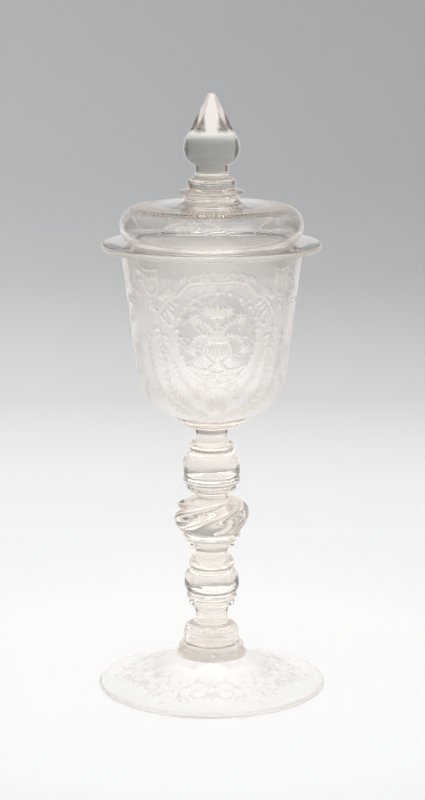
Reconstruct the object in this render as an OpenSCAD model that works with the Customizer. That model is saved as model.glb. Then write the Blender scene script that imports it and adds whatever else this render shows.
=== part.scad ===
// Covered goblet of clear glass: a bucket bowl on a knopped stem, a spreading foot and a domed cover.
// Each piece is a gather of glass of its own, and neighbours meet on flat round joint faces.
// The goblet stands on z = 0 with its axis on Z, and sizes are in millimetres.

/* [Foot] */
// Radius of the foot at its rim
foot_r = 57.5; // [45:0.5:75]
// Height of the joint face on top of the foot
foot_rise = 15.8; // [9:0.1:26]
// Thickness of the rounded rim of the foot
foot_rim_t = 2.4; // [1.6:0.1:4]
// Width of the flat ring that the foot rests on
foot_land_w = 2.4; // [1.5:0.1:6]
// Thickness of the foot under its collar
foot_wall = 5.5; // [3.5:0.5:8]
// Sweep of the foot's upper side: 1 is a straight cone, more is a deeper trumpet
foot_sweep = 1.45; // [1:0.05:2]
// Radius of the ground hollow in the middle of the underside
pontil_r = 9; // [6:0.5:13]
// Depth of the ground hollow
pontil_depth = 0.8; // [0.4:0.1:1.5]

/* [Stem base] */
// Radius of the collar on the foot
foot_collar_r = 17.9; // [16.5:0.1:24]
// Height of the collar on the foot
foot_collar_h = 7.2; // [5:0.1:14]
// Radius of the button above the collar
foot_button_r = 14.6; // [12:0.1:16.4]
// Height of the button
foot_button_h = 10; // [6:0.5:16]

/* [Necks] */
// Radius of every neck at its waist
neck_r = 8.1; // [6:0.1:8.7]
// Radius of every neck at its flared ends
neck_end_r = 8.8; // [8.2:0.1:10]
// Height of the neck above the button
lower_neck_h = 8.5; // [3:0.5:16]
// Height of the neck under the spiral knop
spiral_lower_neck_h = 5.4; // [2:0.1:14]
// Height of the neck over the spiral knop
spiral_upper_neck_h = 3.4; // [2:0.1:14]
// Height of the neck under the bowl
upper_neck_h = 6.7; // [2:0.1:16]

/* [Mereses] */
// Radius of the small disc under the lower knop
lower_small_merese_r = 11.6; // [10.5:0.1:16]
// Radius of the large disc under the lower knop
lower_large_merese_r = 12.7; // [11:0.1:18]
// Radius of the small disc under the spiral knop
spiral_small_merese_r = 12.9; // [10.5:0.1:18]
// Radius of the large disc under the spiral knop
spiral_large_merese_r = 14.7; // [11:0.1:18]
// Radius of the small disc under the upper knop
upper_small_merese_r = 12.8; // [10.5:0.1:18]
// Radius of the large disc under the upper knop
upper_large_merese_r = 14.4; // [11:0.1:20]
// Radius of the small disc under the bowl
bowl_small_merese_r = 14.3; // [11:0.1:20]
// Radius of the large disc under the bowl
bowl_large_merese_r = 18.8; // [14:0.1:26]
// Thickness of each small disc
small_merese_h = 3.8; // [2.5:0.1:6]
// Thickness of each large disc
large_merese_h = 4; // [2.5:0.1:6]
// Thickness of the small disc under the bowl
bowl_small_merese_h = 2.9; // [2:0.1:6]
// Thickness of the large disc under the bowl
bowl_large_merese_h = 3.7; // [2:0.1:6]
// Depth of the crease where two discs or a disc and a knop are joined
crease = 0.9; // [0.4:0.1:1.6]

/* [Knops and rings] */
// Radius of the lower knop
lower_knop_r = 13.9; // [12:0.1:20]
// Height of the lower knop
lower_knop_h = 12; // [8:0.5:20]
// Radius of the upper knop
upper_knop_r = 14.5; // [12:0.1:20]
// Height of the upper knop
upper_knop_h = 12.9; // [8:0.1:20]
// Radius of both rings over the knops
ring_r = 11.5; // [10.6:0.1:13]
// Height of the lower ring
lower_ring_h = 6; // [3:0.5:10]
// Height of the upper ring
upper_ring_h = 5.3; // [3:0.1:10]
// Depth of the crease between a knop and its ring
ring_crease = 1.8; // [0.8:0.1:2.2]

/* [Spiral knop] */
// Radius of the spiral knop over its lobes
spiral_knop_r = 19.2; // [17:0.1:26]
// Height of the spiral knop
spiral_knop_h = 17.4; // [12:0.1:26]
// Number of spiral lobes
spiral_lobes = 5; // [4:1:12]
// Turn of the lobes from the bottom of the knop to its top, in degrees
spiral_twist = 115; // [40:5:180]
// Gathering of that turn towards the top: 1 is an even twist
spiral_gather = 2; // [1:0.1:3]
// Direction of the first lobe at the bottom of the knop, in degrees
spiral_start = 25; // [0:1:90]
// Depth of the grooves between the lobes
spiral_groove = 3.4; // [0.6:0.1:4]

/* [Bowl] */
// Outer radius of the bowl at its rim
bowl_rim_r = 45; // [41:0.5:53]
// Height of the bowl from its joint face to its rim
bowl_h = 83.2; // [50:0.1:120]
// Outer radius of the bowl where its base curve begins
bowl_base_r = 36.8; // [28:0.1:44]
// Height of the base curve
bowl_base_h = 19.5; // [12:0.5:30]
// Fullness of the base curve: 1 is a cone, 2 is an ellipse
bowl_fullness = 1.9; // [1.4:0.05:2.6]
// Thickness of the bowl wall
bowl_wall = 2.2; // [1.4:0.1:4]
// Thickness of glass under the inside of the bowl
bowl_bottom = 4.5; // [2.5:0.5:9]
// Rounding of both edges of the rim
rim_round = 0.5; // [0.2:0.1:0.6]

/* [Cover] */
// Radius of the flange that rests on the bowl
flange_r = 54.6; // [50:0.1:65]
// Thickness of the flange at its rounded edge
flange_t = 3.2; // [2:0.1:5]
// Largest radius of the dome
dome_r = 45.3; // [42:0.1:50]
// Radius of the rounded side of the dome
dome_side_r = 9.6; // [8.6:0.1:14]
// Height of the widest line of the dome over the underside of the flange
dome_widest_h = 11.6; // [9:0.1:12.6]
// Rise of the top of the dome, in degrees
dome_top_rise = 4; // [1:0.5:12]
// Thickness of the cover wall
cover_wall = 2.2; // [1.4:0.1:3.5]
// Outer radius of the bezel that hangs inside the bowl
bezel_r = 37.5; // [30:0.5:40]
// Depth of the bezel below the flange
bezel_drop = 10.5; // [4:0.5:20]

/* [Cover stem] */
// Radius of the flared foot of the boss
boss_foot_r = 16; // [15:0.1:20]
// Radius of the boss at its top
boss_r = 13.8; // [12.5:0.1:15]
// Height of the boss
boss_h = 4.4; // [3:0.1:9]
// Radius of the wide thin disc
wide_merese_r = 16.2; // [14.8:0.1:22]
// Thickness of the wide thin disc
wide_merese_h = 2.6; // [1.6:0.1:5]
// Radius of the ring under the finial
cover_ring_r = 12.1; // [11:0.1:14]
// Height of the ring under the finial
cover_ring_h = 5.6; // [3:0.1:9]

/* [Finial] */
// Height of the neck of the finial
finial_neck_h = 6.2; // [3:0.1:12]
// Radius of the ball of the finial
ball_r = 13.95; // [12.6:0.05:19]
// Radius of the arc that rounds the ball below its widest line
ball_lower_arc_r = 8.9; // [8.2:0.1:12]
// Radius of the arc that rounds the ball above its widest line
ball_upper_arc_r = 12.7; // [9.5:0.1:18]
// Height of the ball from its neck to its widest line
ball_lower_h = 8; // [5:0.1:8.6]
// Height of the ball from its widest line to the foot of its point
ball_upper_h = 7.9; // [4:0.1:9.5]
// Number of flat facets on the point
facets = 6; // [5:1:12]
// Height of the faceted point
point_h = 18.8; // [8:0.1:34]
// Radius of the blunt tip over its corners
tip_r = 1.6; // [0.6:0.1:3]
// Width of the ledge round the foot of the point, at its corners
ledge_w = 0.2; // [0.1:0.1:1.5]

/* [Hidden] */
$fn = 96;

// Steps along a quarter of a round outline, along a sweep and along a neck
quarter_steps = 6;
sweep_steps = 12;
neck_steps = 8;
// Steps along half the height of the spiral knop and sides of each lobe
spiral_steps = 11;
lobe_sides = 14;

// Share of a piece's height below its widest line
merese_widest = 0.5;
bowl_merese_widest = 0.72;
lower_knop_widest = 0.42;
upper_knop_widest = 0.36;
spiral_knop_widest = 0.48;
ring_widest = 0.5;
collar_widest = 0.14;
button_widest = 0.4;
boss_waist = 0.6;
// Fullness of the grooves towards both ends of the spiral knop: less keeps them deep for longer
groove_run = 0.6;

// Colours of the clear glass where it is thin, in the solid stem and in the twisted knop
thin_glass = [0.90, 0.92, 0.92, 0.45];
solid_glass = [0.93, 0.91, 0.87, 0.6];
twisted_glass = [0.93, 0.88, 0.80, 0.7];

// Radii of the joint faces, each a crease inside the smaller of the two pieces that meet there
function joint_r(a, b, depth = crease) = min(a, b) - depth;
foot_joint_r = foot_collar_r - crease;
button_joint_r = joint_r(foot_button_r, foot_collar_r);
lower_pair_joint_r = joint_r(lower_small_merese_r, lower_large_merese_r);
lower_knop_joint_r = joint_r(lower_large_merese_r, lower_knop_r);
spiral_pair_joint_r = joint_r(spiral_small_merese_r, spiral_large_merese_r);
spiral_knop_joint_r = joint_r(spiral_large_merese_r, spiral_knop_r);
upper_pair_joint_r = joint_r(upper_small_merese_r, upper_large_merese_r);
upper_knop_joint_r = joint_r(upper_large_merese_r, upper_knop_r);
lower_ring_joint_r = joint_r(ring_r, lower_knop_r, ring_crease);
upper_ring_joint_r = joint_r(ring_r, upper_knop_r, ring_crease);
bowl_pair_joint_r = joint_r(bowl_small_merese_r, bowl_large_merese_r);
bowl_joint_r = bowl_large_merese_r - crease;
boss_joint_r = joint_r(boss_r, wide_merese_r);
cover_ring_joint_r = joint_r(cover_ring_r, wide_merese_r, ring_crease);

// Radii where the rounded rim of the foot ends, on its upper side and inside the ring that it rests on
foot_edge_r = foot_r - foot_rim_t / 2;
foot_land_r = foot_edge_r - foot_land_w;

// Heights of the joint faces, stacked from the foot
button_z = foot_rise + foot_collar_h;
lower_neck_z = button_z + foot_button_h;
lower_small_merese_z = lower_neck_z + lower_neck_h;
lower_large_merese_z = lower_small_merese_z + small_merese_h;
lower_knop_z = lower_large_merese_z + large_merese_h;
lower_ring_z = lower_knop_z + lower_knop_h;
spiral_lower_neck_z = lower_ring_z + lower_ring_h;
spiral_small_merese_z = spiral_lower_neck_z + spiral_lower_neck_h;
spiral_large_merese_z = spiral_small_merese_z + small_merese_h;
spiral_knop_z = spiral_large_merese_z + large_merese_h;
spiral_upper_neck_z = spiral_knop_z + spiral_knop_h;
upper_small_merese_z = spiral_upper_neck_z + spiral_upper_neck_h;
upper_large_merese_z = upper_small_merese_z + small_merese_h;
upper_knop_z = upper_large_merese_z + large_merese_h;
upper_ring_z = upper_knop_z + upper_knop_h;
upper_neck_z = upper_ring_z + upper_ring_h;
bowl_small_merese_z = upper_neck_z + upper_neck_h;
bowl_large_merese_z = bowl_small_merese_z + bowl_small_merese_h;
bowl_z = bowl_large_merese_z + bowl_large_merese_h;
// The cover rests on the rim of the bowl
cover_z = bowl_z + bowl_h;

// Dome of the cover: centre of its rounded side, and the height of the joint face on its top
dome_centre = [dome_r - dome_side_r, dome_widest_h];
dome_top_angle = 90 - dome_top_rise;
function dome_point(r, angle) = dome_centre + r * [cos(angle), sin(angle)];
function dome_slope_z(start) = start[1] + (start[0] - boss_foot_r) * tan(dome_top_rise);
dome_top_z = dome_slope_z(dome_point(dome_side_r, dome_top_angle));
boss_z = cover_z + dome_top_z;
wide_merese_z = boss_z + boss_h;
cover_ring_z = wide_merese_z + wide_merese_h;
finial_z = cover_ring_z + cover_ring_h;

// Ball of the finial: two arcs that meet upright at the widest line, and the point's foot inside the ledge
ball_z = finial_neck_h + ball_lower_h;
ball_top_z = ball_z + ball_upper_h;
ball_lower_angle = -asin(ball_lower_h / ball_lower_arc_r);
ball_upper_angle = asin(ball_upper_h / ball_upper_arc_r);
point_foot_r = ball_r - ball_upper_arc_r * (1 - cos(ball_upper_angle)) - ledge_w;

// Points along an arc
function arc(centre, r, from, to, steps) =
    [for (i = [0:steps]) let (a = from + (to - from) * i / steps) centre + r * [cos(a), sin(a)]];

// Points along a quarter of an ellipse that leaves a flat face at (r, z) and ends upright at its widest
function swell(r, z, widest_r, widest_z, steps = quarter_steps) =
    [for (i = [0:steps]) let (a = 90 * i / steps)
        [r + (widest_r - r) * sin(a), z + (widest_z - z) * (1 - cos(a))]];

function reversed(points) = [for (i = [len(points) - 1:-1:0]) points[i]];

// Side of a bead from its lower joint face to its upper one
function bead_side(bottom_r, widest_r, top_r, h, widest, steps = quarter_steps) =
    let (
        lower = swell(bottom_r, 0, widest_r, h * widest, steps),
        upper = swell(top_r, h, widest_r, h * widest, steps)
    )
    concat(lower, [for (i = [steps - 1:-1:0]) upper[i]]);

// Outline closed along the axis
function on_axis(side) =
    concat([[0, side[0][1]]], side, [[0, side[len(side) - 1][1]]]);

module turned(side, z, tint) {
    color(tint)
        translate([0, 0, z])
            rotate_extrude()
                polygon(on_axis(side));
}

module bead(bottom_r, widest_r, top_r, h, widest, z) {
    turned(bead_side(bottom_r, widest_r, top_r, h, widest), z, solid_glass);
}

module neck(h, z) {
    flare = neck_end_r - neck_r;
    side = [for (i = [0:neck_steps]) let (t = i / neck_steps)
        [neck_r + flare * (1 + cos(360 * t)) / 2, h * t]];
    turned(side, z, solid_glass);
}

// Height of the foot's upper side and underside, both swept from the rim to the joint face
function foot_top(r) =
    foot_rim_t + (foot_rise - foot_rim_t)
        * pow((foot_edge_r - r) / (foot_edge_r - foot_joint_r), foot_sweep);
function foot_under(r) =
    (foot_rise - foot_wall) * pow((foot_land_r - r) / (foot_land_r - foot_joint_r), foot_sweep);

module foot() {
    rim = arc([foot_edge_r, foot_rim_t / 2], foot_rim_t / 2, -90, 90, 2 * quarter_steps);
    top_run = foot_joint_r - foot_edge_r;
    top = [for (i = [1:sweep_steps]) let (r = foot_edge_r + top_run * i / sweep_steps)
        [r, foot_top(r)]];
    under_run = foot_joint_r - foot_land_r;
    under = [for (i = [sweep_steps:-1:0]) let (r = foot_land_r + under_run * i / sweep_steps)
        [r, foot_under(r)]];
    hollow_z = foot_rise - foot_wall;
    pontil = [for (i = [0:quarter_steps]) let (t = i / quarter_steps)
        [pontil_r * t, hollow_z + pontil_depth * (1 - t * t)]];
    color(thin_glass)
        rotate_extrude()
            polygon(concat(rim, top, [[0, foot_rise]], pontil, under));
}

module foot_collar() {
    bead(foot_joint_r, foot_collar_r, button_joint_r, foot_collar_h, collar_widest, foot_rise);
}

module foot_button() {
    bead(button_joint_r, foot_button_r, neck_end_r, foot_button_h, button_widest, button_z);
}

module lower_neck() {
    neck(lower_neck_h, lower_neck_z);
}

module lower_small_merese() {
    bead(neck_end_r, lower_small_merese_r, lower_pair_joint_r, small_merese_h, merese_widest,
        lower_small_merese_z);
}

module lower_large_merese() {
    bead(lower_pair_joint_r, lower_large_merese_r, lower_knop_joint_r, large_merese_h, merese_widest,
        lower_large_merese_z);
}

module lower_knop() {
    bead(lower_knop_joint_r, lower_knop_r, lower_ring_joint_r, lower_knop_h, lower_knop_widest,
        lower_knop_z);
}

module lower_ring() {
    bead(lower_ring_joint_r, ring_r, neck_end_r, lower_ring_h, ring_widest, lower_ring_z);
}

module spiral_lower_neck() {
    neck(spiral_lower_neck_h, spiral_lower_neck_z);
}

module spiral_small_merese() {
    bead(neck_end_r, spiral_small_merese_r, spiral_pair_joint_r, small_merese_h, merese_widest,
        spiral_small_merese_z);
}

module spiral_large_merese() {
    bead(spiral_pair_joint_r, spiral_large_merese_r, spiral_knop_joint_r, large_merese_h, merese_widest,
        spiral_large_merese_z);
}

// Ball of twisted lobes: each column of points follows one line of a lobe up the knop
module spiral_knop() {
    side = bead_side(spiral_knop_joint_r, spiral_knop_r, neck_end_r, spiral_knop_h, spiral_knop_widest,
        spiral_steps);
    rings = len(side);
    sides = spiral_lobes * lobe_sides;
    points = [for (p = side, j = [0:sides - 1])
        let (
            share = p[1] / spiral_knop_h,
            lobe = abs(cos(180 * j / lobe_sides)),
            groove = spiral_groove * pow(max(0, sin(180 * share)), groove_run),
            r = p[0] - groove * (1 - lobe),
            a = spiral_start + 360 * j / sides + spiral_twist * pow(share, spiral_gather)
        )
        [r * cos(a), r * sin(a), p[1]]];
    walls = [for (k = [0:rings - 2], j = [0:sides - 1])
        let (
            next = (j + 1) % sides,
            low = k * sides,
            high = low + sides
        )
        each [[low + j, high + j, high + next], [low + j, high + next, low + next]]];
    floor_face = [for (j = [0:sides - 1]) j];
    top_face = [for (j = [sides - 1:-1:0]) (rings - 1) * sides + j];
    color(twisted_glass)
        translate([0, 0, spiral_knop_z])
            polyhedron(points, concat(walls, [floor_face, top_face]));
}

module spiral_upper_neck() {
    neck(spiral_upper_neck_h, spiral_upper_neck_z);
}

module upper_small_merese() {
    bead(neck_end_r, upper_small_merese_r, upper_pair_joint_r, small_merese_h, merese_widest,
        upper_small_merese_z);
}

module upper_large_merese() {
    bead(upper_pair_joint_r, upper_large_merese_r, upper_knop_joint_r, large_merese_h, merese_widest,
        upper_large_merese_z);
}

module upper_knop() {
    bead(upper_knop_joint_r, upper_knop_r, upper_ring_joint_r, upper_knop_h, upper_knop_widest,
        upper_knop_z);
}

module upper_ring() {
    bead(upper_ring_joint_r, ring_r, neck_end_r, upper_ring_h, ring_widest, upper_ring_z);
}

module upper_neck() {
    neck(upper_neck_h, upper_neck_z);
}

module bowl_small_merese() {
    bead(neck_end_r, bowl_small_merese_r, bowl_pair_joint_r, bowl_small_merese_h, bowl_merese_widest,
        bowl_small_merese_z);
}

module bowl_large_merese() {
    bead(bowl_pair_joint_r, bowl_large_merese_r, bowl_joint_r, bowl_large_merese_h, bowl_merese_widest,
        bowl_large_merese_z);
}

// Outer radius of the straight wall, carried on below the base curve
function bowl_wall_r(z) =
    bowl_base_r + (bowl_rim_r - bowl_base_r) * (z - bowl_base_h) / (bowl_h - bowl_base_h);

// Points of a rounded base that leaves a flat disc of radius from_r at from_z and runs into the wall
function base_curve(from_r, from_z, wall) =
    [for (i = [0:sweep_steps])
        let (
            a = 90 * i / sweep_steps,
            down = pow(cos(a), 2 / bowl_fullness),
            out = pow(sin(a), 2 / bowl_fullness),
            z = bowl_base_h - (bowl_base_h - from_z) * down
        )
        [from_r + (bowl_wall_r(z) - wall - from_r) * out, z]];

module bowl() {
    outside = base_curve(bowl_joint_r, 0, 0);
    inside = base_curve(0, bowl_bottom, bowl_wall);
    rim_z = bowl_h - rim_round;
    outer_edge = arc([bowl_rim_r - rim_round, rim_z], rim_round, 0, 90, quarter_steps);
    inner_edge = arc([bowl_rim_r - bowl_wall + rim_round, rim_z], rim_round, 90, 180, quarter_steps);
    color(thin_glass)
        translate([0, 0, bowl_z])
            rotate_extrude()
                polygon(concat([[0, 0]], outside, outer_edge, inner_edge, reversed(inside)));
}

// Blown in one piece: bezel, folded flange, rounded side and nearly flat top
module cover() {
    bezel_in = bezel_r - cover_wall;
    inside_r = dome_side_r - cover_wall;
    inside_angle = -acos(max(0, bezel_in - dome_centre[0]) / inside_r);
    outside_angle = asin(max(-1, (flange_t - dome_centre[1]) / dome_side_r));
    bezel_edge = arc([bezel_r - cover_wall / 2, cover_wall / 2 - bezel_drop], cover_wall / 2, 180, 360,
        2 * quarter_steps);
    flange_edge = arc([flange_r - flange_t / 2, flange_t / 2], flange_t / 2, -90, 90, 2 * quarter_steps);
    outside = arc(dome_centre, dome_side_r, outside_angle, dome_top_angle, 4 * quarter_steps);
    inside = arc(dome_centre, inside_r, dome_top_angle, inside_angle, 4 * quarter_steps);
    ceiling_z = dome_slope_z(inside[0]);
    color(thin_glass)
        translate([0, 0, cover_z])
            rotate_extrude()
                polygon(concat(
                    bezel_edge,
                    [[bezel_r, 0]],
                    flange_edge,
                    outside,
                    [[boss_foot_r, dome_top_z], [0, dome_top_z], [0, ceiling_z], [boss_foot_r, ceiling_z]],
                    inside,
                    [[bezel_in, dome_centre[1] + inside_r * sin(inside_angle)]]
                ));
}

module cover_boss() {
    spread = boss_foot_r - boss_r;
    cove = [for (i = [0:quarter_steps]) let (a = 90 * i / quarter_steps)
        [boss_foot_r - spread * sin(a), boss_h * boss_waist * (1 - cos(a))]];
    shoulder = swell(boss_joint_r, boss_h, boss_r, boss_h * boss_waist);
    turned(concat(cove, [for (i = [quarter_steps - 1:-1:0]) shoulder[i]]), boss_z, solid_glass);
}

module cover_wide_merese() {
    bead(boss_joint_r, wide_merese_r, cover_ring_joint_r, wide_merese_h, merese_widest, wide_merese_z);
}

module cover_ring() {
    bead(cover_ring_joint_r, cover_ring_r, neck_end_r, cover_ring_h, ring_widest, cover_ring_z);
}

module finial() {
    flare = neck_end_r - neck_r;
    stalk = [for (i = [0:neck_steps]) let (t = i / neck_steps)
        [neck_end_r - flare * sin(90 * min(1, 2 * t)), finial_neck_h * t]];
    lower_ball = arc([ball_r - ball_lower_arc_r, ball_z], ball_lower_arc_r, ball_lower_angle, 0,
        2 * quarter_steps);
    upper_ball = arc([ball_r - ball_upper_arc_r, ball_z], ball_upper_arc_r, 0, ball_upper_angle,
        quarter_steps);
    color(solid_glass)
        translate([0, 0, finial_z]) {
            rotate_extrude()
                polygon(on_axis(concat(stalk, lower_ball, upper_ball)));
            translate([0, 0, ball_top_z])
                rotate([0, 0, 180 / facets - 90])
                    cylinder(h = point_h, r1 = point_foot_r, r2 = tip_r, $fn = facets);
        }
}

foot();
foot_collar();
foot_button();
lower_neck();
lower_small_merese();
lower_large_merese();
lower_knop();
lower_ring();
spiral_lower_neck();
spiral_small_merese();
spiral_large_merese();
spiral_knop();
spiral_upper_neck();
upper_small_merese();
upper_large_merese();
upper_knop();
upper_ring();
upper_neck();
bowl_small_merese();
bowl_large_merese();
bowl();
cover();
cover_boss();
cover_wide_merese();
cover_ring();
finial();
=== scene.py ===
"""Looks of a covered goblet of clear engraved glass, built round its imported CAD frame.

Every piece of glass is turned, twisted or cut again here from the frame's own sizes, at a finer step.
Neighbouring pieces meet on round faces that let light straight through, as fused glass does.
Sizes are in millimetres until a mesh is made, and the frame is in metres with the axis on Z.
"""

import logging
import math
from collections.abc import Callable
from dataclasses import dataclass, field
from enum import Enum

import bmesh
import bpy
import numpy as np
from mathutils import Matrix, Vector

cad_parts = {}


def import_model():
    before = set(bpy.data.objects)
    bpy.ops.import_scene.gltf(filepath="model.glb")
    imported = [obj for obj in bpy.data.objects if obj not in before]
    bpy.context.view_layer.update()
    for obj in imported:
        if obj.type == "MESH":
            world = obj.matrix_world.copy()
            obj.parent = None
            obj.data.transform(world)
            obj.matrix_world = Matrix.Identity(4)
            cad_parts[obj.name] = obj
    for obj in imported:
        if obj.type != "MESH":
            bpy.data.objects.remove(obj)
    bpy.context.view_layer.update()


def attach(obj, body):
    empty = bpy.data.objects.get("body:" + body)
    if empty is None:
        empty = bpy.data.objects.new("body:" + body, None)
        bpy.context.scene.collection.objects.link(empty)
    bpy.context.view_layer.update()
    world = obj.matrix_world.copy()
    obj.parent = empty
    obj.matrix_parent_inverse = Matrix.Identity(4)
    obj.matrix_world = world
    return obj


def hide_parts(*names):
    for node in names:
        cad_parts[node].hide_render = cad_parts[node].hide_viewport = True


LOG = logging.getLogger("goblet")
MM = 0.001

Point = tuple[float, float]
Outline = list[Point]
Stops = tuple[tuple[float, str], ...]

# Material numbers of a fused joint face and of the ground pontil mark. The finish itself is number 0.
JOINT_FACE = 1
PONTIL_FACE = 2
# Place along a band that no wheel reaches.
OFF_BAND = -1000.0
# Vertices closer than this are one, in metres.
WELD = 1e-7
# Radii that pieces share: the joint faces at both ends of the stem, and a neck's end and waist.
FOOT_JOINT = 17.0
BOWL_JOINT = 17.9
NECK_END = 8.8
NECK_WAIST = 8.1
# How far a joint face lies inside the smaller of its two pieces, and the same under a ring.
CREASE = 0.9
RING_CREASE = 1.8
# A cut is fully matt from a third of its depth on.
MATT_GAIN = 3.0
# Width of a cut's ends, as a share of its middle: of a plain line, a petal and a comma.
LINE_END = 0.3
PETAL_END = 0.12
COMMA_END = 0.15
# Rate at which a line's ends and a comma's head reach their full width.
END_GAIN = 6.0
# Waves that tooling leaves on a bead: share of their depth, waves round the bead and drift up its side.
TOOL_WAVES = ((0.4, 3, 2), (0.25, 7, -3), (0.15, 12, 5), (0.2, 2, 32))
# Turn of those waves from bead to bead, in radians for a millimetre of height.
TOOL_TURN = 0.3


class Body(Enum):
    """The two bodies of the frame."""

    GOBLET = "goblet"
    COVER = "cover"


class Slot(Enum):
    """The record's material slots."""

    CLEAR = "clear_glass"
    ENGRAVED = "engraved_glass"


class Taper(Enum):
    """How wide a wheel cut is along its length."""

    LINE = "line"
    PETAL = "petal"
    COMMA = "comma"

    def widths(self, share: np.ndarray) -> np.ndarray:
        """Width of the cut, from 0 to 1, at each share of its length.

        Args:
            share: places along the cut, from 0 at its start to 1 at its end.

        Returns:
            The width at each place.
        """
        # The powers bring a petal's widest place nearer its foot and keep a comma's tail full.
        if self is Taper.PETAL:
            return PETAL_END + (1.0 - PETAL_END) * np.sin(np.pi * share**0.8)
        if self is Taper.COMMA:
            head = np.minimum(1.0, END_GAIN * share)
            return COMMA_END + (1.0 - COMMA_END) * head * (1.0 - share) ** 0.7
        return np.minimum(1.0, LINE_END + END_GAIN * np.minimum(share, 1.0 - share))


def linear(colour: str) -> tuple[float, float, float, float]:
    """Turns an sRGB hex colour into the linear values of a colour socket.

    Args:
        colour: six hex digits.

    Returns:
        Linear red, green and blue, and an alpha of 1.
    """
    parts = [int(colour[i : i + 2], 16) / 255 for i in (0, 2, 4)]
    red, green, blue = (c / 12.92 if c <= 0.04045 else ((c + 0.055) / 1.055) ** 2.4 for c in parts)
    return red, green, blue, 1.0


def add_node(
    tree: bpy.types.NodeTree,
    kind: str,
    inputs: dict[str | int, object] | None = None,
    stops: Stops = (),
    **settings: object,
) -> bpy.types.Node:
    """Adds one node with its settings and links.

    Args:
        tree: the node tree.
        kind: the node's type name.
        inputs: a constant or an output socket for each input, by name or number.
        stops: place and colour of each stop, if the node has a ramp.
        settings: properties of the node.

    Returns:
        The new node.
    """
    node = tree.nodes.new(kind)
    for name, value in settings.items():
        setattr(node, name, value)
    for name, value in (inputs or {}).items():
        if isinstance(value, bpy.types.NodeSocket):
            tree.links.new(value, node.inputs[name])
        else:
            node.inputs[name].default_value = value
    if stops:
        marks = node.color_ramp.elements
        marks.remove(marks[1])
        marks[0].position, marks[0].color = stops[0][0], linear(stops[0][1])
        for place, colour in stops[1:]:
            marks.new(place).color = linear(colour)
    return node


def new_tree(name: str) -> tuple[bpy.types.Material, bpy.types.NodeTree]:
    """Makes a material with an empty node tree.

    Args:
        name: what the material is.

    Returns:
        The material and its tree.
    """
    material = bpy.data.materials.new(name)
    material.use_nodes = True
    material.node_tree.nodes.clear()
    return material, material.node_tree


@dataclass(frozen=True)
class FusedJoint:
    """Face where two gathers of hot glass ran together: no surface is left there to see."""

    name: str = "fused_glass_joint"

    def make(self) -> bpy.types.Material:
        """Makes the material, which lets every ray straight through.

        Returns:
            The material.
        """
        material, tree = new_tree(self.name)
        clear = add_node(tree, "ShaderNodeBsdfTransparent", {"Color": (1, 1, 1, 1)})
        add_node(tree, "ShaderNodeOutputMaterial", {"Surface": clear.outputs[0]})
        return material


@dataclass(frozen=True)
class ClearGlass:
    """Potash glass, fire-polished: colourless where thin, straw-coloured where light runs far inside it."""

    name: str = "fire_polished_potash_glass"
    tint: str = "f8f1e9"
    deep: str | None = None
    edge: str = "d8c09c"
    edge_from: float = 0.45
    shade: str = "fefdfc"
    ior: float = 1.5

    def surface(self, tree: bpy.types.NodeTree) -> bpy.types.NodeSocket:
        """Adds the polished surface to a tree.

        Args:
            tree: the material's tree.

        Returns:
            The shader.
        """
        body: object = linear(self.tint)
        if self.deep:
            thick = add_node(tree, "ShaderNodeAttribute", attribute_name="thickness")
            tones = {0: thick.outputs["Fac"], 6: body, 7: linear(self.deep)}
            body = add_node(tree, "ShaderNodeMix", tones, data_type="RGBA").outputs[2]
        slant = add_node(tree, "ShaderNodeLayerWeight", {"Blend": 0.5}).outputs["Facing"]
        run = add_node(tree, "ShaderNodeMapRange", {"Value": slant, "From Min": self.edge_from})
        tones = {0: run.outputs[0], 6: body, 7: linear(self.edge)}
        tone = add_node(tree, "ShaderNodeMix", tones, data_type="RGBA")
        glass = add_node(
            tree,
            "ShaderNodeBsdfPrincipled",
            {"Base Color": tone.outputs[2], "Roughness": 0.0, "IOR": self.ior, "Transmission Weight": 1.0},
        )
        return glass.outputs[0]

    def lit(self, tree: bpy.types.NodeTree, surface: bpy.types.NodeSocket) -> None:
        """Lets lamps and the floor's own light through the glass, so that it throws a pale shadow.

        Args:
            tree: the material's tree.
            surface: the shader that the eye sees.
        """
        path = add_node(tree, "ShaderNodeLightPath")
        rays = {0: path.outputs["Is Shadow Ray"], 1: path.outputs["Is Diffuse Ray"]}
        soft = add_node(tree, "ShaderNodeMath", rays, operation="MAXIMUM")
        through = add_node(tree, "ShaderNodeBsdfTransparent", {"Color": linear(self.shade)})
        mixed = add_node(tree, "ShaderNodeMixShader", {0: soft.outputs[0], 1: surface, 2: through.outputs[0]})
        add_node(tree, "ShaderNodeOutputMaterial", {"Surface": mixed.outputs[0]})

    def make(self) -> bpy.types.Material:
        """Makes the material.

        Returns:
            The material.
        """
        material, tree = new_tree(self.name)
        self.lit(tree, self.surface(tree))
        return material


@dataclass(frozen=True)
class ThickGlass(ClearGlass):
    """The same glass in a solid lump, as in collar, button and boss: warmer, and straw-brown at its edges."""

    name: str = "fire_polished_thick_potash_glass"
    tint: str = "f3ebe2"
    edge: str = "c4a982"


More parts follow.
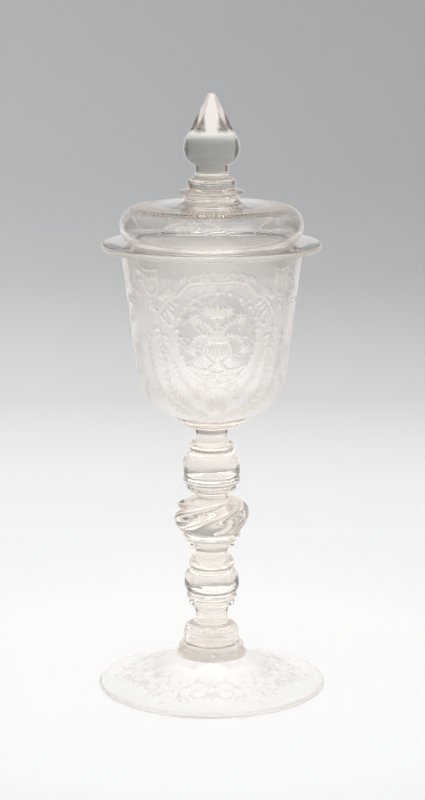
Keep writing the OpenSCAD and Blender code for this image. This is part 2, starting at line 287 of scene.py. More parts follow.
@dataclass(frozen=True)
class EngravedGlass(ClearGlass):
    """The same glass, blown thin and cut with a copper wheel: each cut is matt and scatters light.

    The attribute "cut" is 1 inside a cut, and "ground" is the share of the fine matt ground that veils the
    glass between the cuts. On the finial they also hold painted shade and a painted highlight, and on the
    rims of foot and cover "cut" holds a painted matt band. Both look fainter on the far wall, which is seen
    through the near one.
    """

    name: str = "wheel_engraved_potash_glass"
    tint: str = "fefcfa"
    edge: str = "ece0d2"
    matt: str = "f4ede6"
    haze: str = "fffcf8"
    matt_roughness: float = 0.35
    scatter: float = 0.85
    through: float = 0.12
    most: float = 0.96
    cut_share: float = 0.7
    far: float = 0.2

    def make(self) -> bpy.types.Material:
        """Makes the material: polished glass, matt where the wheel has been and fainter on the far wall.

        Returns:
            The material.
        """
        material, tree = new_tree(self.name)
        cut = add_node(tree, "ShaderNodeAttribute", attribute_name="cut")
        fine = add_node(tree, "ShaderNodeAttribute", attribute_name="ground")
        opaque = add_node(
            tree, "ShaderNodeMath", {0: cut.outputs["Fac"], 1: self.cut_share}, operation="MULTIPLY"
        )
        worn = add_node(
            tree, "ShaderNodeMath", {0: opaque.outputs[0], 1: fine.outputs["Fac"]}, operation="MAXIMUM"
        )
        tones = {0: cut.outputs["Fac"], 6: linear(self.haze), 7: linear(self.matt)}
        colour = add_node(tree, "ShaderNodeMix", tones, data_type="RGBA").outputs[2]
        path = add_node(tree, "ShaderNodeLightPath")
        walls = {"Value": path.outputs["Transmission Depth"], "From Min": 1.0, "From Max": 2.0}
        seen = add_node(
            tree, "ShaderNodeMapRange", {**walls, "To Min": self.most, "To Max": self.most * self.far}
        )
        share = add_node(
            tree, "ShaderNodeMath", {0: worn.outputs[0], 1: seen.outputs[0]}, operation="MULTIPLY"
        )
        ground = add_node(
            tree,
            "ShaderNodeBsdfPrincipled",
            {
                "Base Color": colour,
                "Roughness": self.matt_roughness,
                "IOR": self.ior,
                "Transmission Weight": 1.0,
            },
        )
        front = add_node(tree, "ShaderNodeBsdfDiffuse", {"Color": colour})
        back = add_node(tree, "ShaderNodeBsdfTranslucent", {"Color": colour})
        shader = back.outputs[0]
        for part, under in (
            (self.through, front.outputs[0]),
            (self.scatter, ground.outputs[0]),
            (share.outputs[0], self.surface(tree)),
        ):
            shader = add_node(tree, "ShaderNodeMixShader", {0: part, 1: under, 2: shader}).outputs[0]
        self.lit(tree, shader)
        return material


@dataclass(frozen=True)
class FootGlass(EngravedGlass):
    """Engraved glass of the foot: close over white paper it shows no tint, and its cuts look grey."""

    name: str = "wheel_engraved_foot_glass"
    tint: str = "ffffff"
    edge: str = "fdfaf6"
    matt: str = "e9e2de"
    haze: str = "fefcfa"


@dataclass(frozen=True)
class CoverGlass(EngravedGlass):
    """Engraved glass of the cover: its finely ground scallops look brown against the grey behind them."""

    name: str = "wheel_engraved_cover_glass"
    haze: str = "b5a592"


@dataclass(frozen=True)
class CutGlass(EngravedGlass):
    """Solid finial glass, its point cut on a wheel: pale painted highlights on the facets, dark painted shade
    in the corners.
    """

    name: str = "wheel_cut_potash_glass_painted_facet_light"
    tint: str = "fbf5f0"
    deep: str = "d9d8d1"
    edge: str = "efe4d6"
    # Painted light on the point: matt is the dark painted shade of the corners between the facets, and haze
    # the white of the ground shoulder and of the painted highlight along each facet.
    matt: str = "5c5249"
    haze: str = "fdf6f1"
    far: float = 0.6


@dataclass(frozen=True)
class GroundGlass(ClearGlass):
    """Glass ground and half polished where the pontil rod broke off: a little blind, with grit marks."""

    name: str = "stone_ground_pontil_glass"
    colour: str = "efeae3"
    pale: str = "fbf9f6"
    roughness: float = 0.2
    grain: float = 0.6

    def make(self) -> bpy.types.Material:
        """Makes the material, with coarse grit marks drawn larger than life so that they show.

        Returns:
            The material.
        """
        material, tree = new_tree(self.name)
        place = add_node(tree, "ShaderNodeTexCoord")
        grit = add_node(
            tree,
            "ShaderNodeTexNoise",
            {"Vector": place.outputs["Object"], "Scale": 1.0 / (self.grain * MM), "Detail": 4.0},
        )
        tones = {0: grit.outputs[0], 6: linear(self.pale), 7: linear(self.colour)}
        tone = add_node(tree, "ShaderNodeMix", tones, data_type="RGBA")
        rough = add_node(
            tree,
            "ShaderNodeBsdfPrincipled",
            {
                "Base Color": tone.outputs[2],
                "Roughness": self.roughness,
                "IOR": self.ior,
                "Transmission Weight": 1.0,
            },
        )
        self.lit(tree, rough.outputs[0])
        return material


def arc(centre: Point, radius: float, start: float, end: float, steps: int) -> Outline:
    """Points along an arc.

    Args:
        centre: centre of the arc.
        radius: its radius.
        start: angle of its first point, in degrees.
        end: angle of its last point, in degrees.
        steps: number of steps.

    Returns:
        The points, both ends included.
    """
    angles = [math.radians(start + (end - start) * i / steps) for i in range(steps + 1)]
    return [(centre[0] + radius * math.cos(a), centre[1] + radius * math.sin(a)) for a in angles]


def swell(start: Point, widest: Point, steps: int) -> Outline:
    """Quarter of an ellipse that leaves a flat joint face and ends upright at the widest line.

    Args:
        start: radius and height at the joint face.
        widest: radius and height of the widest line.
        steps: number of steps.

    Returns:
        The points, both ends included.
    """
    angles = [math.pi / 2 * i / steps for i in range(steps + 1)]
    out, up = widest[0] - start[0], widest[1] - start[1]
    return [(start[0] + out * math.sin(a), start[1] + up * (1 - math.cos(a))) for a in angles]


def bead_side(bottom: Point, widest: Point, top: Point, steps: int) -> Outline:
    """Side of a bead from its lower joint face to its upper one.

    Args:
        bottom: radius and height of the lower joint face.
        widest: radius and height of the widest line.
        top: radius and height of the upper joint face.
        steps: number of steps in each half.

    Returns:
        The points from the bottom up.
    """
    return swell(bottom, widest, steps) + swell(top, widest, steps)[-2::-1]


def turned(outline: Outline, around: int, along: list[float] | None = None) -> bmesh.types.BMesh:
    """Turns an outline about the axis and closes its open ends with fused joint faces.

    Args:
        outline: radius and height of each point, in millimetres.
        around: number of steps in the turn.
        along: distance along the engraved band at each point, kept on the vertices.

    Returns:
        The closed mesh, with its joint faces marked.
    """
    bm = bmesh.new()
    layer = bm.verts.layers.float.new("along")
    line = [bm.verts.new((r * MM, 0.0, z * MM)) for r, z in outline]
    for vert, place in zip(line, along or [OFF_BAND] * len(line)):
        vert[layer] = place
    edges = [bm.edges.new(pair) for pair in zip(line, line[1:])]
    # An eighth is spun and then doubled three times, which is quicker than one full spin.
    eighth = math.tau / 8
    up, centre = (0, 0, 1), (0, 0, 0)
    bmesh.ops.spin(
        bm, geom=line + edges, cent=centre, axis=up, angle=eighth, steps=around // 8, use_merge=False
    )
    for turn in (eighth, 2 * eighth, 4 * eighth):
        twin = bmesh.ops.duplicate(bm, geom=bm.verts[:] + bm.edges[:] + bm.faces[:])["geom"]
        moved = [part for part in twin if isinstance(part, bmesh.types.BMVert)]
        bmesh.ops.rotate(bm, verts=moved, cent=centre, matrix=Matrix.Rotation(turn, 3, "Z"))
    bmesh.ops.remove_doubles(bm, verts=bm.verts, dist=WELD)
    rims = [edge for edge in bm.edges if edge.is_boundary]
    if rims:
        for face in bmesh.ops.holes_fill(bm, edges=rims, sides=0)["faces"]:
            face.material_index = JOINT_FACE
    bmesh.ops.recalc_face_normals(bm, faces=bm.faces)
    return bm


def share_up(vert: bmesh.types.BMVert, z: float, height: float) -> float:
    """Share of a bead's height at which a vertex lies, over its lower joint face at z."""
    return min(1.0, max(0.0, (vert.co.z / MM - z) / height))


def tool_marks(bm: bmesh.types.BMesh, z: float, height: float, amount: float) -> None:
    """Presses dents and ridges into a turned bead, none at its joint faces.

    Args:
        bm: the bead.
        z: height of its lower joint face, in millimetres.
        height: its height.
        amount: half the depth of the deepest mark, in millimetres.
    """
    for vert in bm.verts:
        share = share_up(vert, z, height)
        r = max(1e-6, math.hypot(vert.co.x, vert.co.y))
        a = math.atan2(vert.co.y, vert.co.x) + TOOL_TURN * z
        wave = sum(part * math.cos(waves * a + drift * share) for part, waves, drift in TOOL_WAVES)
        grow = 1.0 + amount * MM * math.sin(math.pi * share) * (wave - 1.0) / r
        vert.co.x *= grow
        vert.co.y *= grow


class Wheel:
    """A copper wheel and the band of glass that it cuts, unrolled: x runs round the glass, y across it.

    The width of a stroke is multiplied by "bite" and its depth by "weight". It goes into "raster", which is
    the deep cuts or the fine matt ground.
    """

    # Shapes of the ornaments: shares of their own sizes, but for a dot's length, a scroll's steps and the
    # width of a stem.
    DOT_HALF = 0.05
    FAN_START = 0.18
    FAN_FALL = 1.44
    FAN_BEND = 0.25
    SCROLL_STEPS = 16
    SCROLL_IN = 0.78
    SCROLL_EYE = 0.55
    STEM_WIDTH = 0.8
    LEAF_START = 0.6
    LEAF_SHRINK = 0.65
    LEAF_BEND = 0.3
    LEAF_TIP = 0.5
    ROSE_START = 0.32
    ROSE_EYE = 0.24
    ROSE_PETAL = 2.2

    def __init__(self, length: float, low: float, high: float, pitch: float = 0.2) -> None:
        """Lays out an uncut band.

        Args:
            length: length of the band round the glass.
            low: y of its lower edge.
            high: y of its upper edge.
            pitch: step of the raster.
        """
        self.columns = round(length / pitch)
        self.rows = math.ceil((high - low) / pitch) + 1
        self.low = low
        self.pitch = length / self.columns
        self.depth = np.zeros((self.rows, self.columns), np.float32)
        self.ground = np.zeros_like(self.depth)
        self.raster = self.depth
        self.bite = 1.4
        self.weight = 1.0
        self.places: list[Point] = [(0.0, 1.0)]

    def lay_out(self, centres: list[float], mirrored: bool = True) -> None:
        """Says where the next cuts are repeated.

        Args:
            centres: x of the middle of each repeat.
            mirrored: whether each repeat has a mirrored half.
        """
        hands = (1.0, -1.0) if mirrored else (1.0,)
        self.places = [(centre, hand) for centre in centres for hand in hands]

    def stroke(self, path: list[Point], width: float, taper: Taper = Taper.LINE, depth: float = 1.0) -> None:
        """Cuts one stroke along a smooth path.

        Args:
            path: points that the stroke passes through.
            width: its greatest width.
            taper: how its width runs.
            depth: depth of the cut, from 0 to 1.
        """
        points = smooth_path(np.array(path, float))
        half = taper.widths(np.linspace(0.0, 1.0, len(points))) * width / 2 * self.bite
        for centre, hand in self.places:
            self.press(points * (hand, 1.0) + (centre, 0.0), half, depth * self.weight)

    def press(self, points: np.ndarray, half: np.ndarray, depth: float) -> None:
        """Presses one stroke into the raster.

        Args:
            points: its middle line.
            half: half its width at each point.
            depth: depth of the cut.
        """
        reach = float(half.max()) + self.pitch
        first = np.floor((points.min(0) - reach - (0.0, self.low)) / self.pitch).astype(int)
        last = np.ceil((points.max(0) + reach - (0.0, self.low)) / self.pitch).astype(int)
        columns = np.arange(first[0], last[0] + 1)
        rows = np.arange(max(0, first[1]), min(self.rows - 1, last[1]) + 1)
        if not len(rows):
            return
        x, y = np.meshgrid(columns * self.pitch, self.low + rows * self.pitch)
        cut = np.zeros_like(x)
        for a, b, wide_a, wide_b in zip(points, points[1:], half, half[1:]):
            step = b - a
            share = ((x - a[0]) * step[0] + (y - a[1]) * step[1]) / max(1e-9, float(step @ step))
            share = np.clip(share, 0.0, 1.0)
            away = np.hypot(x - a[0] - share * step[0], y - a[1] - share * step[1])
            wide = wide_a + (wide_b - wide_a) * share
            cut = np.maximum(cut, np.clip(2.0 * (1.0 - away / wide), 0.0, 1.0))
        window = np.ix_(rows, columns % self.columns)
        self.raster[window] = np.maximum(self.raster[window], depth * cut)

    def dot(self, x: float, y: float, radius: float) -> None:
        """Cuts a round bead at (x, y)."""
        self.stroke([(x - self.DOT_HALF, y), (x + self.DOT_HALF, y)], 2.0 * radius / LINE_END)

    def petal(self, x: float, y: float, angle: float, length: float, width: float, bend: float = 0.0) -> None:
        """Cuts one petal.

        Args:
            x: x of its foot.
            y: y of its foot.
            angle: where it points, in degrees from the x axis.
            length: its length.
            width: its greatest width.
            bend: how far it curves to its left, as a share of its length.
        """
        a = math.radians(angle)
        ahead = (math.cos(a) * length, math.sin(a) * length)
        aside = (-math.sin(a) * length * bend, math.cos(a) * length * bend)
        middle = (x + ahead[0] / 2 + aside[0] / 2, y + ahead[1] / 2 + aside[1] / 2)
        self.stroke([(x, y), middle, (x + ahead[0], y + ahead[1])], width, Taper.PETAL)

    def fan(
        self, x: float, y: float, angle: float, spread: float, count: int, length: float, width: float
    ) -> None:
        """Cuts a fan of petals, longest in the middle.

        Args:
            x: x of the foot of the fan.
            y: y of the foot of the fan.
            angle: where its middle petal points, in degrees.
            spread: angle between its outer petals.
            count: number of petals.
            length: length of the middle petal.
            width: width of each petal.
        """
        for i in range(count):
            share = i / (count - 1) - 0.5
            size = length * (1.0 - self.FAN_FALL * share * share)
            turn = angle + spread * share
            a = math.radians(turn)
            start = self.FAN_START * length
            foot = (x + start * math.cos(a), y + start * math.sin(a))
            self.petal(*foot, turn, size - start, width, self.FAN_BEND * share)

    def scroll(self, x: float, y: float, radius: float, start: float, turn: float, width: float) -> None:
        """Cuts a scroll that winds in towards (x, y).

        Args:
            x: x of its eye.
            y: y of its eye.
            radius: radius at its outer end.
            start: angle of its outer end, in degrees.
            turn: angle that it winds through, anticlockwise if above 0.
            width: width of the cut.
        """
        path = []
        for i in range(self.SCROLL_STEPS + 1):
            share = i / self.SCROLL_STEPS
            r = radius * (1.0 - self.SCROLL_IN * share)
            a = math.radians(start + turn * share)
            path.append((x + r * math.cos(a), y + r * math.sin(a)))
        self.stroke(path, width, Taper.COMMA)
        self.dot(*path[-1], width * self.SCROLL_EYE)

    def spray(self, path: list[Point], leaf: float, width: float, gap: float, lean: float = 42.0) -> None:
        """Cuts a curved stem with leaves on both sides that shrink towards its tip.

        Args:
            path: points that the stem passes through.
            leaf: length of the lowest leaves.
            width: width of the lowest leaves.
            gap: distance between leaves.
            lean: angle between leaf and stem.
        """
        self.stroke(path, self.STEM_WIDTH, Taper.COMMA)
        points = smooth_path(np.array(path, float))
        steps = np.hypot(*np.diff(points, axis=0).T)
        run = np.concatenate(([0.0], np.cumsum(steps)))
        for place in np.arange(gap * self.LEAF_START, run[-1], gap):
            x, y = (float(np.interp(place, run, points[:, i])) for i in (0, 1))
            k = min(int(np.searchsorted(run, place)), len(points) - 1)
            angle = math.degrees(math.atan2(*(points[k] - points[k - 1])[::-1]))
            size = 1.0 - self.LEAF_SHRINK * place / run[-1]
            for side in (-1, 1):
                self.petal(x, y, angle + side * lean, leaf * size, width * size, -self.LEAF_BEND * side)
        tip = points[-1] - points[-2]
        angle = math.degrees(math.atan2(tip[1], tip[0]))
        self.petal(*points[-1], angle, leaf * self.LEAF_TIP, width * self.LEAF_TIP)

    def rosette(self, x: float, y: float, radius: float, petals: int) -> None:
        """Cuts a round flower.

        Args:
            x: x of its middle.
            y: y of its middle.
            radius: its radius.
            petals: number of petals.
        """
        self.dot(x, y, radius * self.ROSE_EYE)
        for i in range(petals):
            angle = 360.0 * i / petals + 90.0
            a = math.radians(angle)
            start = self.ROSE_START * radius
            foot = (x + start * math.cos(a), y + start * math.sin(a))
            self.petal(*foot, angle, radius - start, self.ROSE_PETAL * radius / petals)

    def haze(self, levels: tuple[Point, ...]) -> None:
        """Lays a fine matt ground whose depth runs between given heights.

        Args:
            levels: height and depth of the ground at each, from low to high.
        """
        y = self.low + np.arange(self.rows) * self.pitch
        ground = np.interp(y, [height for height, _ in levels], [depth for _, depth in levels])
        self.ground = np.maximum(self.ground, ground[:, None].astype(np.float32))

    def paint_matt_ring(self, low: float, high: float, depth: float) -> None:
        """Matts a whole ring between two heights to a given depth: the painted light on the rims of foot and
        cover.
        """
        y = self.low + np.arange(self.rows) * self.pitch
        self.depth[(y >= low) & (y <= high)] = depth

    def polish(self, y: float, wide: float, high: float, share: float) -> None:
        """Polishes the ground inside an oval on the middle of each repeat.

        Args:
            y: y of the middle of the oval.
            wide: half its width.
            high: half its height.
            share: share of the ground that stays.
        """
        columns, rows = np.meshgrid(np.arange(self.columns), np.arange(self.rows))
        length = self.columns * self.pitch
        for centre, _ in self.places:
            x = (columns * self.pitch - centre + length / 2) % length - length / 2
            inside = np.hypot(x / wide, (self.low + rows * self.pitch - y) / high) < 1.0
            self.ground[inside] *= share

    def rounded(self, times: int = 4) -> np.ndarray:
        """The cuts with soft shoulders, as the round edge of a wheel leaves them.

        Args:
            times: how often each place is evened out with its neighbours.

        Returns:
            The raster of depths.
        """
        soft = self.depth.copy()
        for _ in range(times):
            soft = (np.roll(soft, 1, 1) + 2 * soft + np.roll(soft, -1, 1)) / 4
            padded = np.pad(soft, ((1, 1), (0, 0)), mode="edge")
            soft = (padded[:-2] + 2 * soft + padded[2:]) / 4
        return soft

    def read(self, raster: np.ndarray, x: np.ndarray, y: np.ndarray) -> np.ndarray:
        """Depth of the cuts or of the ground at places on the band.

        Args:
            raster: the cuts or the ground.
            x: places round the glass.
            y: places across the band.

        Returns:
            The depth at each place, 0 off the band.
        """
        column = x / self.pitch
        # The last row is read from just below it, so that there is a row over it.
        row = np.clip((y - self.low) / self.pitch, 0.0, self.rows - 1.001)
        c, r = np.floor(column).astype(int), np.floor(row).astype(int)
        s, t = column - c, row - r
        left, right = c % self.columns, (c + 1) % self.columns
        lower = raster[r, left] * (1 - s) + raster[r, right] * s
        upper = raster[r + 1, left] * (1 - s) + raster[r + 1, right] * s
        on_band = (y >= self.low) & (y <= self.low + (self.rows - 1) * self.pitch)
        return np.where(on_band, lower * (1 - t) + upper * t, 0.0)


def smooth_path(points: np.ndarray, steps: int = 6) -> np.ndarray:
    """Rounds a path of points.

    Args:
        points: points that the path passes through.
        steps: steps between each two.

    Returns:
        Points along the rounded path.
    """
    if len(points) < 3:
        return points
    ends = np.vstack((2 * points[0] - points[1], points, 2 * points[-1] - points[-2]))
    made = []
    for p0, p1, p2, p3 in zip(ends, ends[1:], ends[2:], ends[3:]):
        for i in range(steps):
            t = i / steps
            bend = (2 * p0 - 5 * p1 + 4 * p2 - p3) * t * t + (3 * p1 - p0 - 3 * p2 + p3) * t**3
            made.append(0.5 * (2 * p1 + (p2 - p0) * t + bend))
    return np.array([*made, points[-1]])


@dataclass
class Workshop:
    """Makes pieces of glass: gives each mesh its finish and its place on the frame."""

    clear: bpy.types.Material
    thick: bpy.types.Material
    engraved: bpy.types.Material
    joint: bpy.types.Material
    crease_angle: float = 34.0

    def piece(
        self,
        node: str,
        body: Body,
        slot: Slot,
        bm: bmesh.types.BMesh,
        cutter: Callable[[bpy.types.Mesh], None] | None = None,
        finish: bpy.types.Material | None = None,
    ) -> bpy.types.Object:
        """Turns a finished mesh into a piece that stands for a node of the frame.

        Args:
            node: name of the node.
            body: body that the piece rides on.
            slot: material slot that it takes its finish from.
            bm: its mesh, which is freed.
            cutter: cuts the engraving into the mesh.
            finish: material of its own, if it differs from the slot's.

        Returns:
            The piece.
        """
        mesh = bpy.data.meshes.new(f"{node}_glass")
        for face in bm.faces:
            face.smooth = face.material_index != JOINT_FACE
        bm.to_mesh(mesh)
        bm.free()
        if cutter:
            cutter(mesh)
        mesh.set_sharp_from_angle(angle=math.radians(self.crease_angle))
        mesh.materials.append(finish or (self.engraved if slot is Slot.ENGRAVED else self.clear))
        mesh.materials.append(self.joint)
        made = bpy.data.objects.new(f"{node}_glass", mesh)
        bpy.context.scene.collection.objects.link(made)
        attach(made, body.value)
        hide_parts(node)
        LOG.info("%s: %d faces on %s", made.name, len(mesh.polygons), body.value)
        return made


def cut_mesh(mesh: bpy.types.Mesh, wheel: Wheel, radius: float, depth: float) -> None:
    """Cuts a band into the vertices that carry a place along it.

    Args:
        mesh: the mesh, which gets the attributes "cut" and "ground".
        wheel: the cut band.
        radius: radius at which the band was unrolled, in millimetres.
        depth: depth of a full cut, in millimetres.
    """
    count = len(mesh.vertices)
    places, along, normals = (np.zeros(count * n, np.float32) for n in (3, 1, 3))
    mesh.vertices.foreach_get("co", places)
    mesh.attributes["along"].data.foreach_get("value", along)
    mesh.vertices.foreach_get("normal", normals)
    places, normals = places.reshape(-1, 3), normals.reshape(-1, 3)
    round_x = np.arctan2(places[:, 0], -places[:, 1]) * radius
    cut = wheel.read(wheel.depth, round_x, along)
    ground = wheel.read(wheel.ground, round_x, along)
    sunk = wheel.read(wheel.rounded(), round_x, along)
    places -= (normals * (sunk * depth * MM)[:, None]).astype(np.float32)
    mesh.vertices.foreach_set("co", places.ravel())
    mesh.attributes.remove(mesh.attributes["along"])
    matt = np.minimum(1.0, cut * MATT_GAIN).astype(np.float32)
    mesh.attributes.new("cut", "FLOAT", "POINT").data.foreach_set("value", matt)
    mesh.attributes.new("ground", "FLOAT", "POINT").data.foreach_set("value", ground.astype(np.float32))
    mesh.update()


@dataclass
class Foot:
    """Spreading foot with its wreath of engraved scrolls.

    The band runs outwards from the joint face, and the veil is the share of fine matt ground along it.
    """

    radius: float = 57.5
    rise: float = 15.8
    rim: float = 2.4
    land: float = 2.4
    wall: float = 5.5
    sweep: float = 1.45
    pontil_radius: float = 9.0
    pontil_depth: float = 0.8
    joint: float = FOOT_JOINT
    band_radius: float = 40.0
    band_end: float = 60.0
    cut_depth: float = 0.05
    # The rim carries painted shade, a pale matt ring for the thin line along the polished rim's edge: its
    # place on the band, the ring's width and its matt share.
    rim_place: float = 59.0
    rim_width: float = 2.0
    painted_rim_matt: float = 0.8
    veil: tuple[Point, ...] = ((17.0, 0.9), (20.0, 0.75), (28.0, 0.4), (60.0, 0.4))
    groups: int = 6
    around: int = 480
    top_steps: int = 90
    rim_steps: int = 16
    under_steps: int = 40
    pontil_steps: int = 8

    def outline(self) -> tuple[Outline, list[float]]:
        """Draws the outline from the joint face over the rim to the ground hollow.

        Returns:
            The points, and how far along the band each lies.
        """
        edge = self.radius - self.rim / 2
        land = edge - self.land
        hollow = self.rise - self.wall
        top = []
        for i in range(self.top_steps + 1):
            r = self.joint + (edge - self.joint) * i / self.top_steps
            up = ((edge - r) / (edge - self.joint)) ** self.sweep
            top.append((r, self.rim + (self.rise - self.rim) * up))
        rim = arc((edge, self.rim / 2), self.rim / 2, 90, -90, self.rim_steps)[1:]
        under = []
        for i in range(self.under_steps + 1):
            r = land + (self.joint - land) * i / self.under_steps
            under.append((r, hollow * ((land - r) / (land - self.joint)) ** self.sweep))
        for i in range(self.pontil_steps + 1):
            share = 1 - i / self.pontil_steps
            under.append((self.pontil_radius * share, hollow + self.pontil_depth * (1 - share * share)))
        # The rim's rows take a place on the band, where the wreath paints the matt shade.
        along = [r for r, _ in top] + [self.rim_place] * len(rim) + [OFF_BAND] * len(under)
        return top + rim + under, along

    def wreath(self) -> Wheel:
        """Cuts the wreath: in each group a palmette between two leafy scrolls, then a row of beads, and
        paints matt shade on the rim.

        Returns:
            The wheel with its cut band.
        """
        length = 2 * math.pi * self.band_radius
        wheel = Wheel(length, self.joint, self.band_end)
        wheel.haze(self.veil)
        # Painted shade: a pale matt ring on the rim.
        wheel.paint_matt_ring(self.band_end - self.rim_width, self.band_end, self.painted_rim_matt / MATT_GAIN)
        wheel.bite = 1.0
        step = length / self.groups
        centres = [step * i for i in range(self.groups)]
        wheel.lay_out(centres)
        wheel.fan(0.0, 34.0, -90.0, 130.0, 5, 6.5, 2.2)
        wheel.fan(0.0, 36.5, 90.0, 110.0, 5, 7.0, 2.0)
        wheel.scroll(8.2, 38.0, 5.6, 190.0, -300.0, 1.9)
        wheel.scroll(14.0, 44.4, 3.8, 130.0, 300.0, 1.7)
        wheel.stroke([(2.0, 33.5), (6.0, 30.6), (11.0, 30.8), (15.6, 34.4), (17.8, 40.0)], 1.7, Taper.COMMA)
        for x, y, angle in ((10.5, 30.8, 240.0), (16.0, 35.6, 200.0), (17.4, 39.4, 100.0)):
            wheel.petal(x, y, angle, 5.0, 2.0, 0.3)
        wheel.lay_out([centre + step / 2 for centre in centres])
        for i in range(4):
            wheel.dot(0.0, 32.0 + 3.6 * i, 1.0 - 0.12 * i)
        wheel.petal(0.0, 47.0, 90.0, 4.6, 1.9)
        return wheel

    def build(self, shop: Workshop) -> float:
        """Builds the foot.

        Args:
            shop: the workshop.

        Returns:
            Height of the joint face on it.
        """
        line, along = self.outline()
        wheel = self.wreath()
        bm = turned(line, self.around, along)
        for face in bm.faces:
            middle = face.calc_center_median() / MM
            if face.material_index != JOINT_FACE and math.hypot(middle.x, middle.y) < self.pontil_radius:
                face.material_index = PONTIL_FACE
        made = shop.piece(
            "foot",
            Body.GOBLET,
            Slot.ENGRAVED,
            bm,
            lambda mesh: cut_mesh(mesh, wheel, self.band_radius, self.cut_depth),
            FootGlass().make(),
        )
        made.data.materials.append(GroundGlass().make())
        return self.rise


@dataclass(frozen=True)
class Bead:
    """One bead of the stem.

    Its widest line lies at the share "widest" of its height. A thick bead is warmer and has deeper tool
    marks, and "lean" is how far its right side sinks at its middle.
    """

    node: str
    radius: float
    height: float
    widest: float
    thick: bool = False
    lean: float = 0.0


@dataclass(frozen=True)
class Neck:
    """One waisted neck of the stem: its node and its height."""

    node: str
    height: float


@dataclass
class Stem:
    """Knopped stem: beads, discs and necks stacked from the foot to the bowl."""

    foot_joint: float = FOOT_JOINT
    bowl_joint: float = BOWL_JOINT
    neck_waist: float = NECK_WAIST
    neck_end: float = NECK_END
    crease: float = CREASE
    ring_crease: float = RING_CREASE
    lobes: int = 5
    twist: float = 115.0
    gather: float = 2.0
    start: float = 25.0
    groove: float = 3.4
    groove_run: float = 0.6
    marks: float = 0.08
    heavy_marks: float = 0.5
    around: int = 192
    steps: int = 14
    spiral_around: int = 320
    spiral_steps: int = 40
    stack: list[Bead | Neck] = field(
        default_factory=lambda: [
            Bead("foot_collar", 17.9, 7.2, 0.14, True),
            Bead("foot_button", 14.6, 10.0, 0.4, True, 0.4),
            Neck("lower_neck", 8.5),
            Bead("lower_small_merese", 11.6, 3.8, 0.5),
            Bead("lower_large_merese", 12.7, 4.0, 0.5),
            Bead("lower_knop", 13.9, 12.0, 0.42, lean=0.6),
            Bead("lower_ring", 11.5, 6.0, 0.5),
            Neck("spiral_lower_neck", 5.4),
            Bead("spiral_small_merese", 12.9, 3.8, 0.5),
            Bead("spiral_large_merese", 14.7, 4.0, 0.5),
            Bead("spiral_knop", 19.2, 17.4, 0.48, True),
            Neck("spiral_upper_neck", 3.4),
            Bead("upper_small_merese", 12.8, 3.8, 0.5),
            Bead("upper_large_merese", 14.4, 4.0, 0.5),
            Bead("upper_knop", 14.5, 12.9, 0.36, lean=0.9),
            Bead("upper_ring", 11.5, 5.3, 0.5),
            Neck("upper_neck", 6.7),
            Bead("bowl_small_merese", 14.3, 2.9, 0.72),
            Bead("bowl_large_merese", 18.8, 3.7, 0.72),
        ]
    )

    def joint(self, lower: Bead | Neck | None, upper: Bead | Neck | None) -> float:
        """Radius of the joint face between two pieces.

        Args:
            lower: the piece below, or none for the foot.
            upper: the piece above, or none for the bowl.

        Returns:
            The radius.
        """
        if lower is None:
            return self.foot_joint
        if upper is None:
            return self.bowl_joint
        if isinstance(lower, Neck) or isinstance(upper, Neck):
            return self.neck_end
        ring = upper.node.endswith("_ring")
        return min(lower.radius, upper.radius) - (self.ring_crease if ring else self.crease)

    def neck_side(self, height: float, z: float) -> Outline:
        """Side of a neck.

        Args:
            height: its height.
            z: height of its lower joint face.

        Returns:
            The points from the bottom up.
        """
        half = (self.neck_end - self.neck_waist) / 2
        shares = [i / (2 * self.steps) for i in range(2 * self.steps + 1)]
        return [(self.neck_waist + half * (1 + math.cos(math.tau * t)), z + height * t) for t in shares]

    def wrythe(self, bm: bmesh.types.BMesh, z: float, height: float) -> None:
        """Presses lobes into a bead and twists them into a spiral.

        Args:
            bm: the turned bead.
            z: height of its lower joint face.
            height: its height.
        """
        for vert in bm.verts:
            share = share_up(vert, z, height)
            r = math.hypot(vert.co.x, vert.co.y)
            angle = math.atan2(vert.co.y, vert.co.x)
            lobe = abs(math.cos(self.lobes * angle / 2))
            r -= self.groove * MM * max(0.0, math.sin(math.pi * share)) ** self.groove_run * (1 - lobe)
            angle += math.radians(self.start + self.twist * share**self.gather)
            vert.co.x, vert.co.y = r * math.cos(angle), r * math.sin(angle)

    def tool(self, bm: bmesh.types.BMesh, z: float, bead: Bead) -> None:
        """Lets a bead lean and waver a little between its joint faces, as hand-tooled glass does.

        Args:
            bm: the turned bead.
            z: height of its lower joint face.
            bead: the bead.
        """
        tool_marks(bm, z, bead.height, self.heavy_marks if bead.thick else self.marks)
        for vert in bm.verts:
            share = share_up(vert, z, bead.height)
            vert.co.z -= bead.lean * math.sin(math.pi * share) * vert.co.x / bead.radius

    def bead(self, bead: Bead, z: float, low: float, high: float) -> bmesh.types.BMesh:
        """Turns one bead, and twists or tools it.

        Args:
            bead: the bead.
            z: height of its lower joint face.
            low: radius of its lower joint face.
            high: radius of its upper joint face.

        Returns:
            Its mesh.
        """
        spiral = bead.node == "spiral_knop"
        steps, around = (self.spiral_steps, self.spiral_around) if spiral else (self.steps, self.around)
        widest = (bead.radius, z + bead.height * bead.widest)
        bm = turned(bead_side((low, z), widest, (high, z + bead.height), steps), around)
        if spiral:
            self.wrythe(bm, z, bead.height)
        else:
            self.tool(bm, z, bead)
        return bm

    def build(self, shop: Workshop, z: float) -> float:
        """Builds every piece of the stem.

        Args:
            shop: the workshop.
            z: height of the joint face on the foot.

        Returns:
            Height of the joint face under the bowl.
        """
        for below, part, above in zip([None, *self.stack], self.stack, [*self.stack[1:], None]):
            finish = None
            if isinstance(part, Neck):
                bm = turned(self.neck_side(part.height, z), self.around)
            else:
                bm = self.bead(part, z, self.joint(below, part), self.joint(part, above))
                finish = shop.thick if part.thick else None
            shop.piece(part.node, Body.GOBLET, Slot.CLEAR, bm, finish=finish)
            z += part.height
        return z


